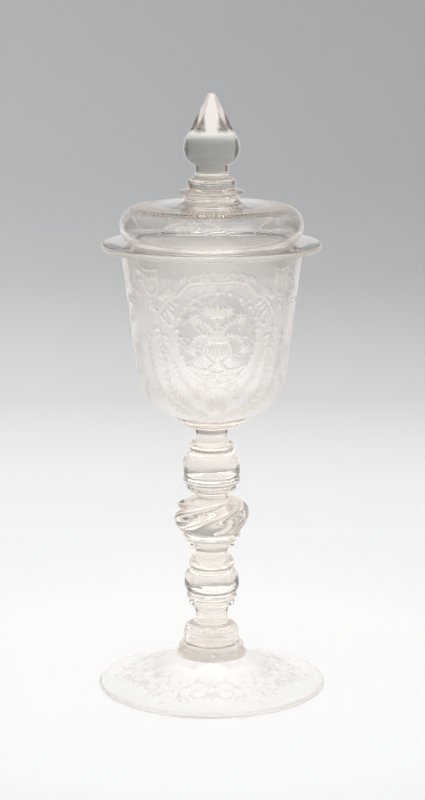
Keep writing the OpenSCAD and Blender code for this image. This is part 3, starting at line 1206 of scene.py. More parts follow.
@dataclass
class Bowl:
    """Thin bucket bowl with its engraved cartouches.

    The band runs up the outside and ends at the rim, at the bowl's height. Ornament is drawn from the middle
    of a cartouche outwards and mirrored. The veil is the share of fine matt ground along the band.
    """

    rim_radius: float = 45.0
    height: float = 83.2
    base_radius: float = 36.8
    base_height: float = 19.5
    fullness: float = 1.9
    wall: float = 2.2
    bottom: float = 4.5
    rim_round: float = 0.5
    joint: float = BOWL_JOINT
    rim_play: float = 0.05
    band_radius: float = 41.0
    band_low: float = -12.0
    band_high: float = 84.0
    cut_depth: float = 0.42
    cartouche: float = 3.0
    oval_middle: float = 45.6
    oval_half: Point = (20.6, 22.6)
    oval_beads: int = 23
    oval_veil: float = 0.3
    veil: tuple[Point, ...] = (
        (-12.0, 0.96),
        (8.0, 0.92),
        (20.0, 0.72),
        (34.0, 0.5),
        (50.0, 0.34),
        (61.0, 0.24),
        (68.0, 0.3),
        (80.0, 0.28),
    )
    around: int = 512
    base_steps: int = 40
    wall_steps: int = 120
    rim_steps: int = 6
    inside_steps: int = 12

    def wall_radius(self, z: float) -> float:
        """Outer radius of the straight wall at a height over the joint face."""
        rise = (z - self.base_height) / (self.height - self.base_height)
        return self.base_radius + (self.rim_radius - self.base_radius) * rise

    def base_curve(self, start: Point, wall: float, steps: int) -> Outline:
        """Points of the rounded base.

        Args:
            start: radius and height where it leaves the flat disc.
            wall: distance inside the outer wall.
            steps: number of steps.

        Returns:
            The points from the disc to the wall.
        """
        made = []
        for i in range(steps + 1):
            a = math.pi / 2 * i / steps
            down = max(0.0, math.cos(a)) ** (2 / self.fullness)
            out = math.sin(a) ** (2 / self.fullness)
            z = self.base_height - (self.base_height - start[1]) * down
            made.append((start[0] + (self.wall_radius(z) - wall - start[0]) * out, z))
        return made

    def outline(self, base: float) -> tuple[Outline, list[float]]:
        """Draws the outline from the joint face over the rim to the inside.

        Args:
            base: height of the joint face.

        Returns:
            The points, and how far along the band each lies.
        """
        top = self.height - self.rim_round - self.rim_play
        outside = self.base_curve((self.joint, 0.0), 0.0, self.base_steps)
        for i in range(self.wall_steps):
            z = self.base_height + (top - self.base_height) * (i + 1) / self.wall_steps
            outside.append((self.wall_radius(z), z))
        inner = self.rim_radius - self.wall
        rim = arc((self.rim_radius - self.rim_round, top), self.rim_round, 0, 90, self.rim_steps)[1:]
        rim += arc((inner + self.rim_round, top), self.rim_round, 90, 180, self.rim_steps)
        inside = self.base_curve((0.0, self.bottom), self.wall, self.inside_steps)[::-1]
        steps = [math.dist(a, b) for a, b in zip(outside, outside[1:])]
        below = np.cumsum([0.0, *steps[::-1]])[::-1]
        line = outside + rim + inside
        along = [float(self.height - d) for d in below] + [OFF_BAND] * (len(rim) + len(inside))
        return [(r, base + z) for r, z in line], along

    def medallion(self, wheel: Wheel) -> None:
        """Cuts an oval frame of beads and dashes round a vase of flowers.

        Args:
            wheel: the wheel, laid out on the cartouches.
        """
        wide, high = self.oval_half
        for i in range(self.oval_beads):
            a = math.pi * (i / (self.oval_beads - 1) - 0.5)
            x, y = wide * math.cos(a), self.oval_middle + high * math.sin(a)
            if i % 2:
                ahead = Vector((-wide * math.sin(a), high * math.cos(a))).normalized() * 1.25
                wheel.stroke([(x - ahead.x, y - ahead.y), (x + ahead.x, y + ahead.y)], 1.4)
            else:
                wheel.dot(x, y, 0.85)
        wheel.stroke([(0.0, 28.0), (3.0, 28.2), (4.2, 30.0), (2.2, 31.6), (2.6, 33.4)], 0.9)
        wheel.stroke([(2.6, 33.4), (6.4, 36.5), (6.8, 40.5), (5.2, 43.4)], 1.0)
        wheel.stroke([(0.0, 43.6), (3.0, 43.6), (6.4, 44.4)], 0.9)
        for i in range(3):
            wheel.petal(1.0 + 1.9 * i, 35.0 + 0.8 * i, 88.0, 6.4 - 0.9 * i, 1.3)
        wheel.spray([(0.4, 44.0), (2.0, 49.0), (6.0, 53.0), (10.0, 54.0)], 3.4, 1.3, 2.2)
        wheel.spray([(1.5, 44.2), (6.0, 47.0), (10.5, 46.0), (13.0, 42.5)], 3.2, 1.2, 2.2)
        wheel.rosette(11.4, 55.4, 3.2, 7)
        wheel.rosette(13.8, 40.0, 2.5, 6)
        wheel.rosette(5.2, 59.2, 2.6, 6)
        wheel.stroke([(0.0, 44.0), (0.0, 50.0), (0.0, 55.0)], 0.8)
        wheel.fan(0.0, 55.0, 90.0, 100.0, 5, 7.4, 1.9)
        wheel.stroke([(0.0, 26.6), (5.0, 26.2), (11.0, 27.4)], 0.8, Taper.COMMA)
        wheel.stroke([(4.0, 29.2), (9.0, 29.6), (14.5, 31.4)], 0.7, Taper.COMMA)

    def canopy(self, wheel: Wheel) -> None:
        """Cuts the strap and scallops over the medallion, with feathered wings at its ends.

        Args:
            wheel: the wheel, laid out on the cartouches.
        """
        wheel.stroke([(0.0, 73.4), (8.0, 73.3), (13.5, 72.0), (17.0, 68.6), (19.5, 66.0)], 1.1)
        wheel.stroke([(0.0, 71.6), (7.5, 71.5), (12.5, 70.2), (15.6, 67.4)], 0.6, Taper.LINE, 0.7)
        for i in range(4):
            x = 2.4 + 4.2 * i
            y = 74.6 - 0.25 * i * i
            scallop = [(x - 2.1, y), (x - 1.6, y + 2.2), (x, y + 3.1), (x + 1.6, y + 2.2), (x + 2.1, y)]
            wheel.stroke(scallop, 0.8)
            wheel.petal(x, y + 0.4, 90.0, 2.0, 0.9)
        for i in range(7):
            wheel.petal(19.5 + 1.2 * i, 66.2 - 0.25 * i, 62.0 - 8.0 * i, 6.8 - 0.55 * i, 1.2, -0.35)
        wheel.stroke([(18.0, 66.4), (22.5, 65.0), (26.5, 61.6), (29.2, 56.5), (29.8, 52.0)], 1.3, Taper.COMMA)
        for i in range(5):
            wheel.petal(22.5 + 1.5 * i, 64.0 - 2.0 * i, 205.0 + 8.0 * i, 4.6 - 0.4 * i, 1.2, 0.4)
        wheel.scroll(25.0, 53.6, 4.4, 60.0, 330.0, 1.2)

    def lambrequin(self, wheel: Wheel) -> None:
        """Cuts a hanging shield of lattice work with a tassel, beside each canopy.

        Args:
            wheel: the wheel, laid out on the cartouches.
        """
        middle = 34.0
        for side in (-1, 1):
            edge = ((4.6, 78.0), (4.8, 71.0), (2.6, 66.6), (0.0, 65.0))
            wheel.stroke([(middle + side * x, y) for x, y in edge], 0.9)
        wheel.stroke([(28.6, 78.4), (middle, 77.4), (39.4, 78.4)], 1.0)
        for i in range(4):
            x = 30.6 + 2.2 * i
            wheel.stroke([(x, 76.6), (x + 1.2, 72.5), (x + 2.0, 69.0)], 0.55, Taper.LINE, 0.7)
            wheel.stroke([(x + 0.6, 76.6), (x - 0.6, 72.5), (x - 0.6, 69.5)], 0.55, Taper.LINE, 0.7)
        wheel.dot(middle, 62.8, 0.9)
        wheel.fan(middle, 62.0, -90.0, 80.0, 5, 5.0, 1.1)
        wheel.petal(39.0, 75.0, 20.0, 5.0, 1.5, 0.3)
        wheel.petal(39.2, 72.0, -10.0, 5.0, 1.5, 0.3)
        wheel.scroll(43.0, 67.0, 3.6, 110.0, -320.0, 1.1)

    def foliage(self, wheel: Wheel) -> None:
        """Cuts the scrolls beside the medallion and the tall leaves that rise from the base.

        Args:
            wheel: the wheel, laid out on the cartouches.
        """
        wheel.scroll(27.0, 43.0, 4.8, 250.0, 340.0, 1.2)
        wheel.stroke([(29.8, 52.0), (30.6, 47.0), (29.0, 40.0), (24.6, 34.0)], 1.1, Taper.COMMA)
        for i in range(6):
            wheel.petal(30.2 - 0.5 * i, 49.0 - 3.0 * i, -20.0 - 14.0 * i, 5.0, 1.4, 0.35)
        wheel.spray([(4.0, 2.0), (13.0, 5.0), (22.0, 13.0), (28.0, 25.0), (31.5, 38.0)], 7.4, 1.7, 3.6, 40.0)
        wheel.spray([(14.0, 2.0), (25.0, 7.0), (34.0, 18.0), (38.0, 32.0), (38.5, 44.0)], 7.0, 1.6, 3.6, 38.0)
        wheel.spray([(8.0, 14.0), (14.0, 18.0), (20.0, 25.0), (23.0, 31.0)], 4.6, 1.6, 2.4)
        wheel.fan(0.0, 5.0, 90.0, 150.0, 9, 11.0, 2.0)
        wheel.scroll(9.5, 19.5, 3.8, 220.0, -330.0, 1.1)
        wheel.stroke([(3.0, 17.0), (6.0, 22.0), (11.0, 24.0), (15.5, 27.5)], 0.9, Taper.COMMA)
        wheel.stroke([(0.0, 20.4), (4.0, 19.8), (8.0, 17.0)], 0.8, Taper.COMMA)

    def candelabrum(self, wheel: Wheel) -> None:
        """Cuts an upright stem of flowers and leaves between two cartouches.

        Args:
            wheel: the wheel, laid out between the cartouches.
        """
        wheel.stroke([(0.0, -4.0), (0.0, 30.0), (0.0, 66.0)], 0.9)
        wheel.rosette(0.0, 70.0, 4.0, 8)
        wheel.rosette(0.0, 44.0, 3.4, 7)
        wheel.fan(0.0, 18.0, 90.0, 130.0, 7, 9.0, 1.9)
        wheel.spray([(0.4, 50.0), (4.0, 57.0), (9.0, 61.0), (14.0, 60.0)], 4.8, 1.6, 2.5)
        wheel.spray([(0.4, 28.0), (5.0, 34.0), (11.0, 37.0), (17.0, 36.0)], 5.2, 1.7, 2.6)
        wheel.spray([(0.4, 0.0), (6.0, 6.0), (13.0, 10.0), (20.0, 20.0)], 6.0, 2.0, 2.8)
        wheel.scroll(9.0, 52.0, 4.0, 80.0, -320.0, 1.1)
        wheel.scroll(10.0, 26.0, 4.4, 80.0, -320.0, 1.1)
        wheel.petal(3.0, 66.0, 25.0, 6.0, 1.7, 0.3)
        wheel.petal(3.0, 74.0, -10.0, 6.0, 1.7, -0.3)

    def engraving(self) -> Wheel:
        """Cuts the whole band: a cartouche in front and behind, foliage between, on a fine matt ground.

        Returns:
            The wheel with its cut band.
        """
        length = 2 * math.pi * self.band_radius
        wheel = Wheel(length, self.band_low, self.band_high)
        cartouches = [self.cartouche, self.cartouche + length / 2]
        wheel.lay_out(cartouches)
        for part in (self.medallion, self.canopy, self.lambrequin, self.foliage):
            part(wheel)
        wheel.lay_out([self.cartouche + length / 4, self.cartouche - length / 4])
        self.candelabrum(wheel)
        wheel.haze(self.veil)
        wheel.lay_out(cartouches)
        wheel.polish(self.oval_middle, *self.oval_half, self.oval_veil)
        return wheel

    def build(self, shop: Workshop, z: float) -> float:
        """Builds the bowl.

        Args:
            shop: the workshop.
            z: height of the joint face under it.

        Returns:
            Height at which the cover rests.
        """
        line, along = self.outline(z)
        wheel = self.engraving()
        shop.piece(
            "bowl",
            Body.GOBLET,
            Slot.ENGRAVED,
            turned(line, self.around, along),
            lambda mesh: cut_mesh(mesh, wheel, self.band_radius, self.cut_depth),
        )
        return z + self.height


@dataclass
class Cover:
    """Domed cover with its flange and bezel, and the short stem that carries the finial."""

    flange_radius: float = 54.6
    flange: float = 3.2
    dome_radius: float = 45.3
    side_radius: float = 9.6
    widest: float = 11.6
    rise: float = 4.0
    wall: float = 2.2
    bezel_radius: float = 37.5
    bezel_drop: float = 10.5
    boss_foot: float = 16.0
    boss_radius: float = 13.8
    boss_height: float = 4.4
    boss_waist: float = 0.6
    disc_radius: float = 16.2
    disc_height: float = 2.6
    ring_radius: float = 12.1
    ring_height: float = 5.6
    neck_end: float = NECK_END
    crease: float = CREASE
    ring_crease: float = RING_CREASE
    marks: float = 0.25
    band_radius: float = 38.0
    band_end: float = 72.0
    cut_depth: float = 0.15
    # The flange's round edge carries painted highlight, a white matt band for the bright line that light
    # draws in the polished edge: its place on the band, the band's width, its matt share and the edge's rows
    # that it covers.
    rim_place: float = 70.0
    rim_width: float = 4.0
    painted_rim_matt: float = 0.9
    rim_points: range = range(5, 17)
    flower_weight: float = 0.3
    flower_shift: float = -7.5
    scallop_weight: float = 0.8
    scallops: int = 8
    groups: int = 6
    around: int = 480
    stem_around: int = 192
    crown_steps: int = 50
    side_steps: int = 60
    edge_steps: int = 20
    bezel_steps: int = 14
    inside_steps: int = 30
    steps: int = 14

    def dome_point(self, radius: float, angle: float) -> Point:
        """Point on the rounded side of the dome at an angle in degrees."""
        return arc((self.dome_radius - self.side_radius, self.widest), radius, angle, angle, 1)[0]

    def slope(self, start: Point) -> float:
        """Height that the nearly flat top reaches at the boss, from where the side ends."""
        return start[1] + (start[0] - self.boss_foot) * math.tan(math.radians(self.rise))

    def top(self) -> float:
        """Height of the joint face on the dome over the flange's underside."""
        return self.slope(self.dome_point(self.side_radius, 90 - self.rise))

    def outline(self, base: float) -> tuple[Outline, list[float]]:
        """Draws the outline from the joint face over dome, flange and bezel to the inside.

        Args:
            base: height of the flange's underside.

        Returns:
            The points, and how far along the band each lies.
        """
        centre = (self.dome_radius - self.side_radius, self.widest)
        high = 90 - self.rise
        low = math.degrees(math.asin(max(-1.0, (self.flange - self.widest) / self.side_radius)))
        shoulder = self.dome_point(self.side_radius, high)
        outside = []
        for i in range(self.crown_steps):
            share = i / self.crown_steps
            r = self.boss_foot + (shoulder[0] - self.boss_foot) * share
            outside.append((r, self.top() + (shoulder[1] - self.top()) * share))
        outside += arc(centre, self.side_radius, high, low, self.side_steps)
        half = self.flange / 2
        edge = arc((self.flange_radius - half, half), half, 90, -90, self.edge_steps)
        half = self.wall / 2
        bezel = [(self.bezel_radius, 0.0)]
        bezel += arc((self.bezel_radius - half, half - self.bezel_drop), half, 360, 180, self.bezel_steps)
        inner = self.side_radius - self.wall
        turn = -math.degrees(math.acos(max(0.0, self.bezel_radius - self.wall - centre[0]) / inner))
        inside = arc(centre, inner, turn, high, self.inside_steps)
        ceiling = self.slope(inside[-1])
        line = outside + edge + bezel + inside + [(self.boss_foot, ceiling), (0.0, ceiling)]
        steps = [math.dist(a, b) for a, b in zip(outside, outside[1:])]
        run = np.cumsum([self.boss_foot, *steps])
        along = [float(d) for d in run] + [OFF_BAND] * (len(line) - len(outside))
        # The flange's edge rows take a place on the band, where the border paints the matt highlight.
        for i in self.rim_points:
            along[len(outside) + i] = self.rim_place
        return [(r, base + z) for r, z in line], along

    def border(self) -> Wheel:
        """Cuts shallow flowers and leaves on the dome's side and finely ground scallops round its top, and
        paints a matt highlight on the flange's edge.

        Returns:
            The wheel with its cut band.
        """
        length = 2 * math.pi * self.band_radius
        wheel = Wheel(length, self.boss_foot, self.band_end)
        # Painted highlight: a white matt band on the flange's round edge.
        wheel.paint_matt_ring(self.band_end - self.rim_width, self.band_end, self.painted_rim_matt / MATT_GAIN)
        step = length / self.groups
        wheel.lay_out([step * i + self.flower_shift for i in range(self.groups)])
        wheel.weight = self.flower_weight
        wheel.bite = 1.0
        wheel.rosette(0.0, 46.0, 3.4, 8)
        wheel.stroke([(2.4, 42.4), (6.8, 42.2), (11.2, 44.4), (16.0, 49.4)], 0.8, Taper.COMMA)
        wheel.stroke([(3.4, 47.4), (6.0, 49.0), (9.4, 51.4)], 0.8, Taper.COMMA)
        for i in range(6):
            wheel.petal(3.6 + 2.0 * i, 42.4 + 0.22 * i * i, 38.0 + 4.0 * i, 4.6 - 0.2 * i, 0.9, 0.2)
        wheel.raster = wheel.ground
        wheel.weight = self.scallop_weight
        for i in range(self.scallops // 2):
            x = step * (i + 0.5) / self.scallops
            scallop = [(x - 2.3, 28.0), (x - 1.9, 36.0), (x, 40.6), (x + 1.9, 36.0), (x + 2.3, 28.0)]
            wheel.stroke(scallop, 0.9)
            wheel.petal(x, 30.0, 90.0, 8.0, 1.2)
        return wheel

    def stem(self, shop: Workshop, z: float) -> float:
        """Builds the boss, the wide disc and the ring.

        Args:
            shop: the workshop.
            z: height of the flange's underside.

        Returns:
            Height of the joint face under the finial.
        """
        boss_z = z + self.top()
        disc_z = boss_z + self.boss_height
        ring_z = disc_z + self.disc_height
        end = ring_z + self.ring_height
        under_disc = (min(self.boss_radius, self.disc_radius) - self.crease, disc_z)
        under_ring = (min(self.ring_radius, self.disc_radius) - self.ring_crease, ring_z)
        waist = (self.boss_radius, boss_z + self.boss_height * self.boss_waist)
        boss = bead_side((self.boss_foot, boss_z), waist, under_disc, self.steps)
        widest = (self.disc_radius, disc_z + self.disc_height / 2)
        disc = bead_side(under_disc, widest, under_ring, self.steps)
        widest = (self.ring_radius, ring_z + self.ring_height / 2)
        ring = bead_side(under_ring, widest, (self.neck_end, end), self.steps)
        for node, line in (("cover_boss", boss), ("cover_wide_merese", disc), ("cover_ring", ring)):
            bm = turned(line, self.stem_around)
            tool_marks(bm, line[0][1], line[-1][1] - line[0][1], self.marks)
            shop.piece(node, Body.COVER, Slot.CLEAR, bm, finish=shop.thick)
        return end

    def build(self, shop: Workshop, z: float) -> float:
        """Builds the cover and its stem.

        Args:
            shop: the workshop.
            z: height of the flange's underside.

        Returns:
            Height of the joint face under the finial.
        """
        line, along = self.outline(z)
        wheel = self.border()
        shop.piece(
            "cover",
            Body.COVER,
            Slot.ENGRAVED,
            turned(line, self.around, along),
            lambda mesh: cut_mesh(mesh, wheel, self.band_radius, self.cut_depth),
            CoverGlass().make(),
        )
        return self.stem(shop, z)


@dataclass
class Finial:
    """Finial: a short neck, a ball with an air bubble in it, and a point with flat cut facets."""

    neck_waist: float = NECK_WAIST
    neck_end: float = NECK_END
    neck_height: float = 6.2
    ball_radius: float = 13.95
    lower_arc: float = 8.9
    upper_arc: float = 12.7
    lower_height: float = 8.0
    upper_height: float = 7.9
    facets: int = 6
    point_height: float = 18.8
    point_steps: int = 12
    tip_radius: float = 1.6
    ledge: float = 0.2
    around: int = 192
    steps: int = 24
    bubble: tuple[float, float, float] = (-1.9, -3.0, 15.6)
    bubble_radius: float = 0.45
    bubble_splits: int = 3
    ground_from: float = 0.6
    ground_most: float = 0.75
    ground_run: float = 1.5
    # Painted highlight along each facet and painted shade in its corners: the highlight's matt share, how
    # sharp its border is, and how far it reaches across the facets in front and behind and at the sides, at
    # the foot of the point and gained towards its tip.
    facet_highlight: float = 0.5
    facet_soft: float = 4.0
    front_reach: Point = (0.6, 1.4)
    side_reach: Point = (-0.5, 3.0)

    def outline(self, z: float) -> Outline:
        """Outline of the neck and the ball.

        Args:
            z: height of the joint face.

        Returns:
            The points from the joint face to the ledge round the point.
        """
        flare = self.neck_end - self.neck_waist
        shares = [i / self.steps for i in range(self.steps + 1)]
        tall = self.neck_height
        line = [(self.neck_end - flare * math.sin(math.pi * min(0.5, t)), z + tall * t) for t in shares]
        middle = z + self.neck_height + self.lower_height
        low = -math.degrees(math.asin(self.lower_height / self.lower_arc))
        high = math.degrees(math.asin(self.upper_height / self.upper_arc))
        line += arc((self.ball_radius - self.lower_arc, middle), self.lower_arc, low, 0, self.steps)
        line += arc((self.ball_radius - self.upper_arc, middle), self.upper_arc, 0, high, self.steps)[1:]
        return line

    def set_ring(self, lid: bmesh.types.BMFace, radius: float, z: float) -> None:
        """Moves the rim of a lid onto one ring of the point.

        Args:
            lid: the flat face on top of the mesh.
            radius: radius over the corners of the facets.
            z: height of the ring, in millimetres.
        """
        sector = math.tau / self.facets
        for vert in lid.verts:
            a = math.atan2(vert.co.y, vert.co.x)
            off = (a + math.pi / 2 + sector / 2) % sector - sector / 2
            r = radius * math.cos(sector / 2) / math.cos(off)
            vert.co = Vector((r * math.cos(a), r * math.sin(a), z)) * MM

    def grind(self, mesh: bpy.types.Mesh, top: float) -> None:
        """Marks where the glass is ground, where light and shade are painted on it, and where it is thick.

        The shoulder is ground towards the point. Each facet gets a painted highlight, a white matt field
        along its middle that is wider in front and behind than at the sides. The corners between these fields
        get painted shade: they are dark.

        Args:
            mesh: the finial's mesh.
            top: height of the foot of the point, in millimetres.
        """
        places = np.zeros(len(mesh.vertices) * 3, np.float32)
        mesh.vertices.foreach_get("co", places)
        x, y, z = (places[i::3] / MM for i in range(3))
        share = np.clip((z - top) / self.upper_height + 1.0, 0.0, 1.0)
        ground = np.clip((share - self.ground_from) / (1.0 - self.ground_from), 0.0, 1.0) ** self.ground_run
        up = (z - top) / self.point_height
        sector = math.tau / self.facets
        turn = np.arctan2(y, x) + math.pi / 2
        off = (turn + sector / 2) % sector - sector / 2
        broad = np.round((turn - off) / sector) % (self.facets // 2) == 0
        # Painted highlight: a white matt field along the middle of each facet, reaching wider towards the tip
        # and on the facets in front and behind.
        front, side = (start + gain * up for start, gain in (self.front_reach, self.side_reach))
        reach = np.where(broad, front, side)
        facet = np.clip((reach - np.abs(off) / (sector / 2)) * self.facet_soft, 0.0, 1.0)
        # Painted shade: the corners between the highlights, dark through the attribute "cut".
        dark = np.where(up > 0.0, 1.0 - facet, 0.0)
        ground = np.where(up > 0.0, facet * self.facet_highlight, ground * self.ground_most)
        thick = np.clip(np.hypot(x, y) / self.ball_radius, 0.0, 1.0)
        for name, values in (("cut", dark), ("ground", ground), ("thickness", thick)):
            mesh.attributes.new(name, "FLOAT", "POINT").data.foreach_set("value", values.astype(np.float32))

    def build(self, shop: Workshop, z: float) -> None:
        """Builds the finial.

        Args:
            shop: the workshop.
            z: height of the joint face under it.
        """
        line = self.outline(z)
        bm = turned(line, self.around)
        top = line[-1][1]
        lid = max(bm.faces, key=lambda face: face.calc_center_median().z)
        lid.material_index = 0
        foot = line[-1][0] - self.ledge
        for i in range(self.point_steps + 1):
            share = i / self.point_steps
            lid = bmesh.ops.extrude_discrete_faces(bm, faces=[lid])["faces"][0]
            self.set_ring(lid, foot + (self.tip_radius - foot) * share, top + self.point_height * share)
        bmesh.ops.recalc_face_normals(bm, faces=bm.faces)
        bubble = bmesh.ops.create_icosphere(
            bm, subdivisions=self.bubble_splits, radius=self.bubble_radius * MM
        )["verts"]
        bmesh.ops.translate(bm, verts=bubble, vec=Vector(self.bubble) * MM + Vector((0, 0, z * MM)))
        bmesh.ops.reverse_faces(bm, faces=list({face for vert in bubble for face in vert.link_faces}))
        shop.piece(
            "finial", Body.COVER, Slot.CLEAR, bm, lambda mesh: self.grind(mesh, top), CutGlass().make()
        )


@dataclass
class Studio:
    """Pale floor and paper behind it, greyed with distance and height by painted falloff of light, soft light
    from high in front and the camera of the photograph.

    Sizes are in metres. Light levels are strengths at which 1 is white. An edge is where a change of light
    starts and ends, as a share of the direction of view.
    """

    lens: float = 104.85
    film: float = 36.0
    down: float = 11.5
    eye: tuple[float, float, float] = (0.0004, -1.1410, 0.3797)
    floor_radius: float = 16.0
    floor_steps: int = 96
    floor_drop: float = 0.0001
    # Painted shade far aside, for every ray but the eye's: where it starts, how soft its edge is and how dark
    # it gets.
    floor_half: float = 0.6
    floor_soft: float = 0.1
    floor_side_shade: float = 0.5
    # Painted falloff of light on the floor, by distance from the goblet.
    floor_painted_falloff: Stops = (
        (0.0, "fcfcfc"),
        (0.13, "fafafa"),
        (0.235, "efefef"),
        (0.42, "dbdcdd"),
        (0.62, "b6b8ba"),
        (0.92, "a7a9ab"),
    )
    paper_back: float = 0.45
    paper_cove: float = 0.15
    cove_steps: int = 24
    paper_half: float = 0.43
    paper_height: float = 1.6
    paper_blend: float = 0.001
    # Painted shade that deepens towards the paper's right: its depth across the paper, and the height at
    # which it is full.
    paper_side_shade: float = 0.5
    paper_side_shade_from: float = 0.12
    # Painted falloff of light up the paper, by height.
    paper_painted_falloff: Stops = (
        (0.0, "e9e9e9"),
        (0.008, "dfdfdf"),
        (0.063, "c2c2c2"),
        (0.136, "b1b2b2"),
        (0.21, "a8a9aa"),
        (0.5, "a3a4a6"),
    )
    # Painted reflection: the paper's brighter tone in what the glass mirrors, by height.
    paper_painted_reflection: Stops = ((0.0, "f6f6f6"), (0.15, "f4f4f4"), (0.3, "e0e0e0"), (0.5, "c0c0c0"))
    lamp_aim: tuple[float, float, float] = (0.0, -0.64, 0.768)
    lamp_edge: Point = (0.55, 0.8)
    lamp_light: Point = (0.0, 1.8)
    wall_edge: Point = (0.0, 0.3)
    wall_light: Point = (0.4, 0.26)
    side_edge: Point = (0.55, 0.75)
    side_light: Point = (1.0, 0.3)
    # Painted reflection: the room that only the glass's mirror images show, its edges and levels by height.
    mirrored_edge: Point = (0.3, 0.6)
    mirrored_light: Point = (0.3, 1.3)
    horizon_light: float = 0.385
    glass_bounces: int = 40
    mirror_bounces: int = 16
    clear_bounces: int = 64

    def floor(self) -> None:
        """Lays the floor: white paper with a painted falloff of light that greys it with distance, and with
        painted shade far aside for every ray but the eye's.
        """
        material, tree = new_tree("white_paper_sweep_painted_falloff")
        place = add_node(tree, "ShaderNodeTexCoord").outputs["Object"]
        parts = add_node(tree, "ShaderNodeSeparateXYZ", {0: place})
        # Painted shade: far aside the floor is darker for every ray but the eye's, so that the glass shows
        # dark sides.
        aside = add_node(tree, "ShaderNodeMath", {0: parts.outputs["X"]}, operation="ABSOLUTE")
        painted_side_shade = add_node(
            tree,
            "ShaderNodeMapRange",
            {
                "Value": aside.outputs[0],
                "From Min": self.floor_half,
                "From Max": self.floor_half + self.floor_soft,
                "To Min": 1.0,
                "To Max": self.floor_side_shade,
            },
        )
        path = add_node(tree, "ShaderNodeLightPath")
        sides = {0: painted_side_shade.outputs[0], 1: path.outputs["Is Camera Ray"]}
        kept = add_node(tree, "ShaderNodeMath", sides, operation="MAXIMUM")
        # Painted falloff of light: the floor greys with distance from the goblet.
        grey = {0: self.painted_floor_falloff(tree, place), "Scale": kept.outputs[0]}
        shaded = add_node(tree, "ShaderNodeVectorMath", grey, operation="SCALE")
        paper = add_node(tree, "ShaderNodeBsdfDiffuse", {"Color": shaded.outputs[0]})
        add_node(tree, "ShaderNodeOutputMaterial", {"Surface": paper.outputs[0]})
        bm = bmesh.new()
        bmesh.ops.create_circle(bm, cap_ends=True, segments=self.floor_steps, radius=self.floor_radius)
        bmesh.ops.translate(bm, verts=bm.verts, vec=(0, 0, -self.floor_drop))
        self.lay("floor", bm, material)

    def painted_floor_falloff(self, tree: bpy.types.NodeTree, place: bpy.types.NodeSocket) -> bpy.types.NodeSocket:
        """Adds the floor's painted falloff of light: a grey that darkens with the distance from the goblet.

        Args:
            tree: the node tree.
            place: the place on the paper.

        Returns:
            The colour.
        """
        away = add_node(tree, "ShaderNodeVectorMath", {0: place}, operation="LENGTH").outputs["Value"]
        more = add_node(tree, "ShaderNodeMath", {0: away, 1: 1.0}, operation="ADD")
        share = add_node(tree, "ShaderNodeMath", {0: away, 1: more.outputs[0]}, operation="DIVIDE")
        return add_node(tree, "ShaderNodeValToRGB", {0: share.outputs[0]}, self.floor_painted_falloff).outputs[0]

    def mirrored(self, tree: bpy.types.NodeTree) -> bpy.types.NodeSocket:
        """Adds a test for what the glass mirrors.

        Args:
            tree: the node tree.

        Returns:
            A value that is 1 for a mirrored ray.
        """
        path = add_node(tree, "ShaderNodeLightPath")
        rays = {0: path.outputs["Is Glossy Ray"], 1: path.outputs["Is Reflection Ray"]}
        return add_node(tree, "ShaderNodeMath", rays, operation="MULTIPLY").outputs[0]

    def lay(self, name: str, bm: bmesh.types.BMesh, material: bpy.types.Material) -> None:
        """Turns a mesh into a piece of the stage.

        Args:
            name: name of the piece.
            bm: its mesh, which is freed.
            material: its material.
        """
        mesh = bpy.data.meshes.new(name)
        for face in bm.faces:
            face.smooth = True
        bm.to_mesh(mesh)
        bm.free()
        mesh.materials.append(material)
        made = bpy.data.objects.new(name, mesh)
        bpy.context.scene.collection.objects.link(made)

    def backdrop(self) -> None:
        """Hangs a sheet of paper behind the goblet, clear from behind: painted light makes it white at its
        foot and grey above, shaded towards its right, and brighter in what the glass mirrors.
        """
        material, tree = new_tree("paper_backdrop_painted_falloff")
        place = add_node(tree, "ShaderNodeTexCoord").outputs["Object"]
        parts = add_node(tree, "ShaderNodeSeparateXYZ", {0: place})
        height = parts.outputs["Z"]
        # Painted falloff of light: the floor's grey at the paper's foot, then a grey that rises with height.
        lift = add_node(tree, "ShaderNodeMapRange", {"Value": height, "From Max": self.paper_blend})
        upper = add_node(tree, "ShaderNodeValToRGB", {0: height}, self.paper_painted_falloff)
        tones = {0: lift.outputs[0], 6: self.painted_floor_falloff(tree, place), 7: upper.outputs[0]}
        grey = add_node(tree, "ShaderNodeMix", tones, data_type="RGBA")
        # Painted shade: above its foot the paper darkens towards its right.
        steep = add_node(
            tree,
            "ShaderNodeMapRange",
            {"Value": height, "From Max": self.paper_side_shade_from, "To Max": -self.paper_side_shade},
        )
        aside = {0: parts.outputs["X"], 1: steep.outputs[0], 2: 1.0}
        fall = add_node(tree, "ShaderNodeMath", aside, operation="MULTIPLY_ADD")
        dimmed = {0: grey.outputs[2], "Scale": fall.outputs[0]}
        shaded = add_node(tree, "ShaderNodeVectorMath", dimmed, operation="SCALE")
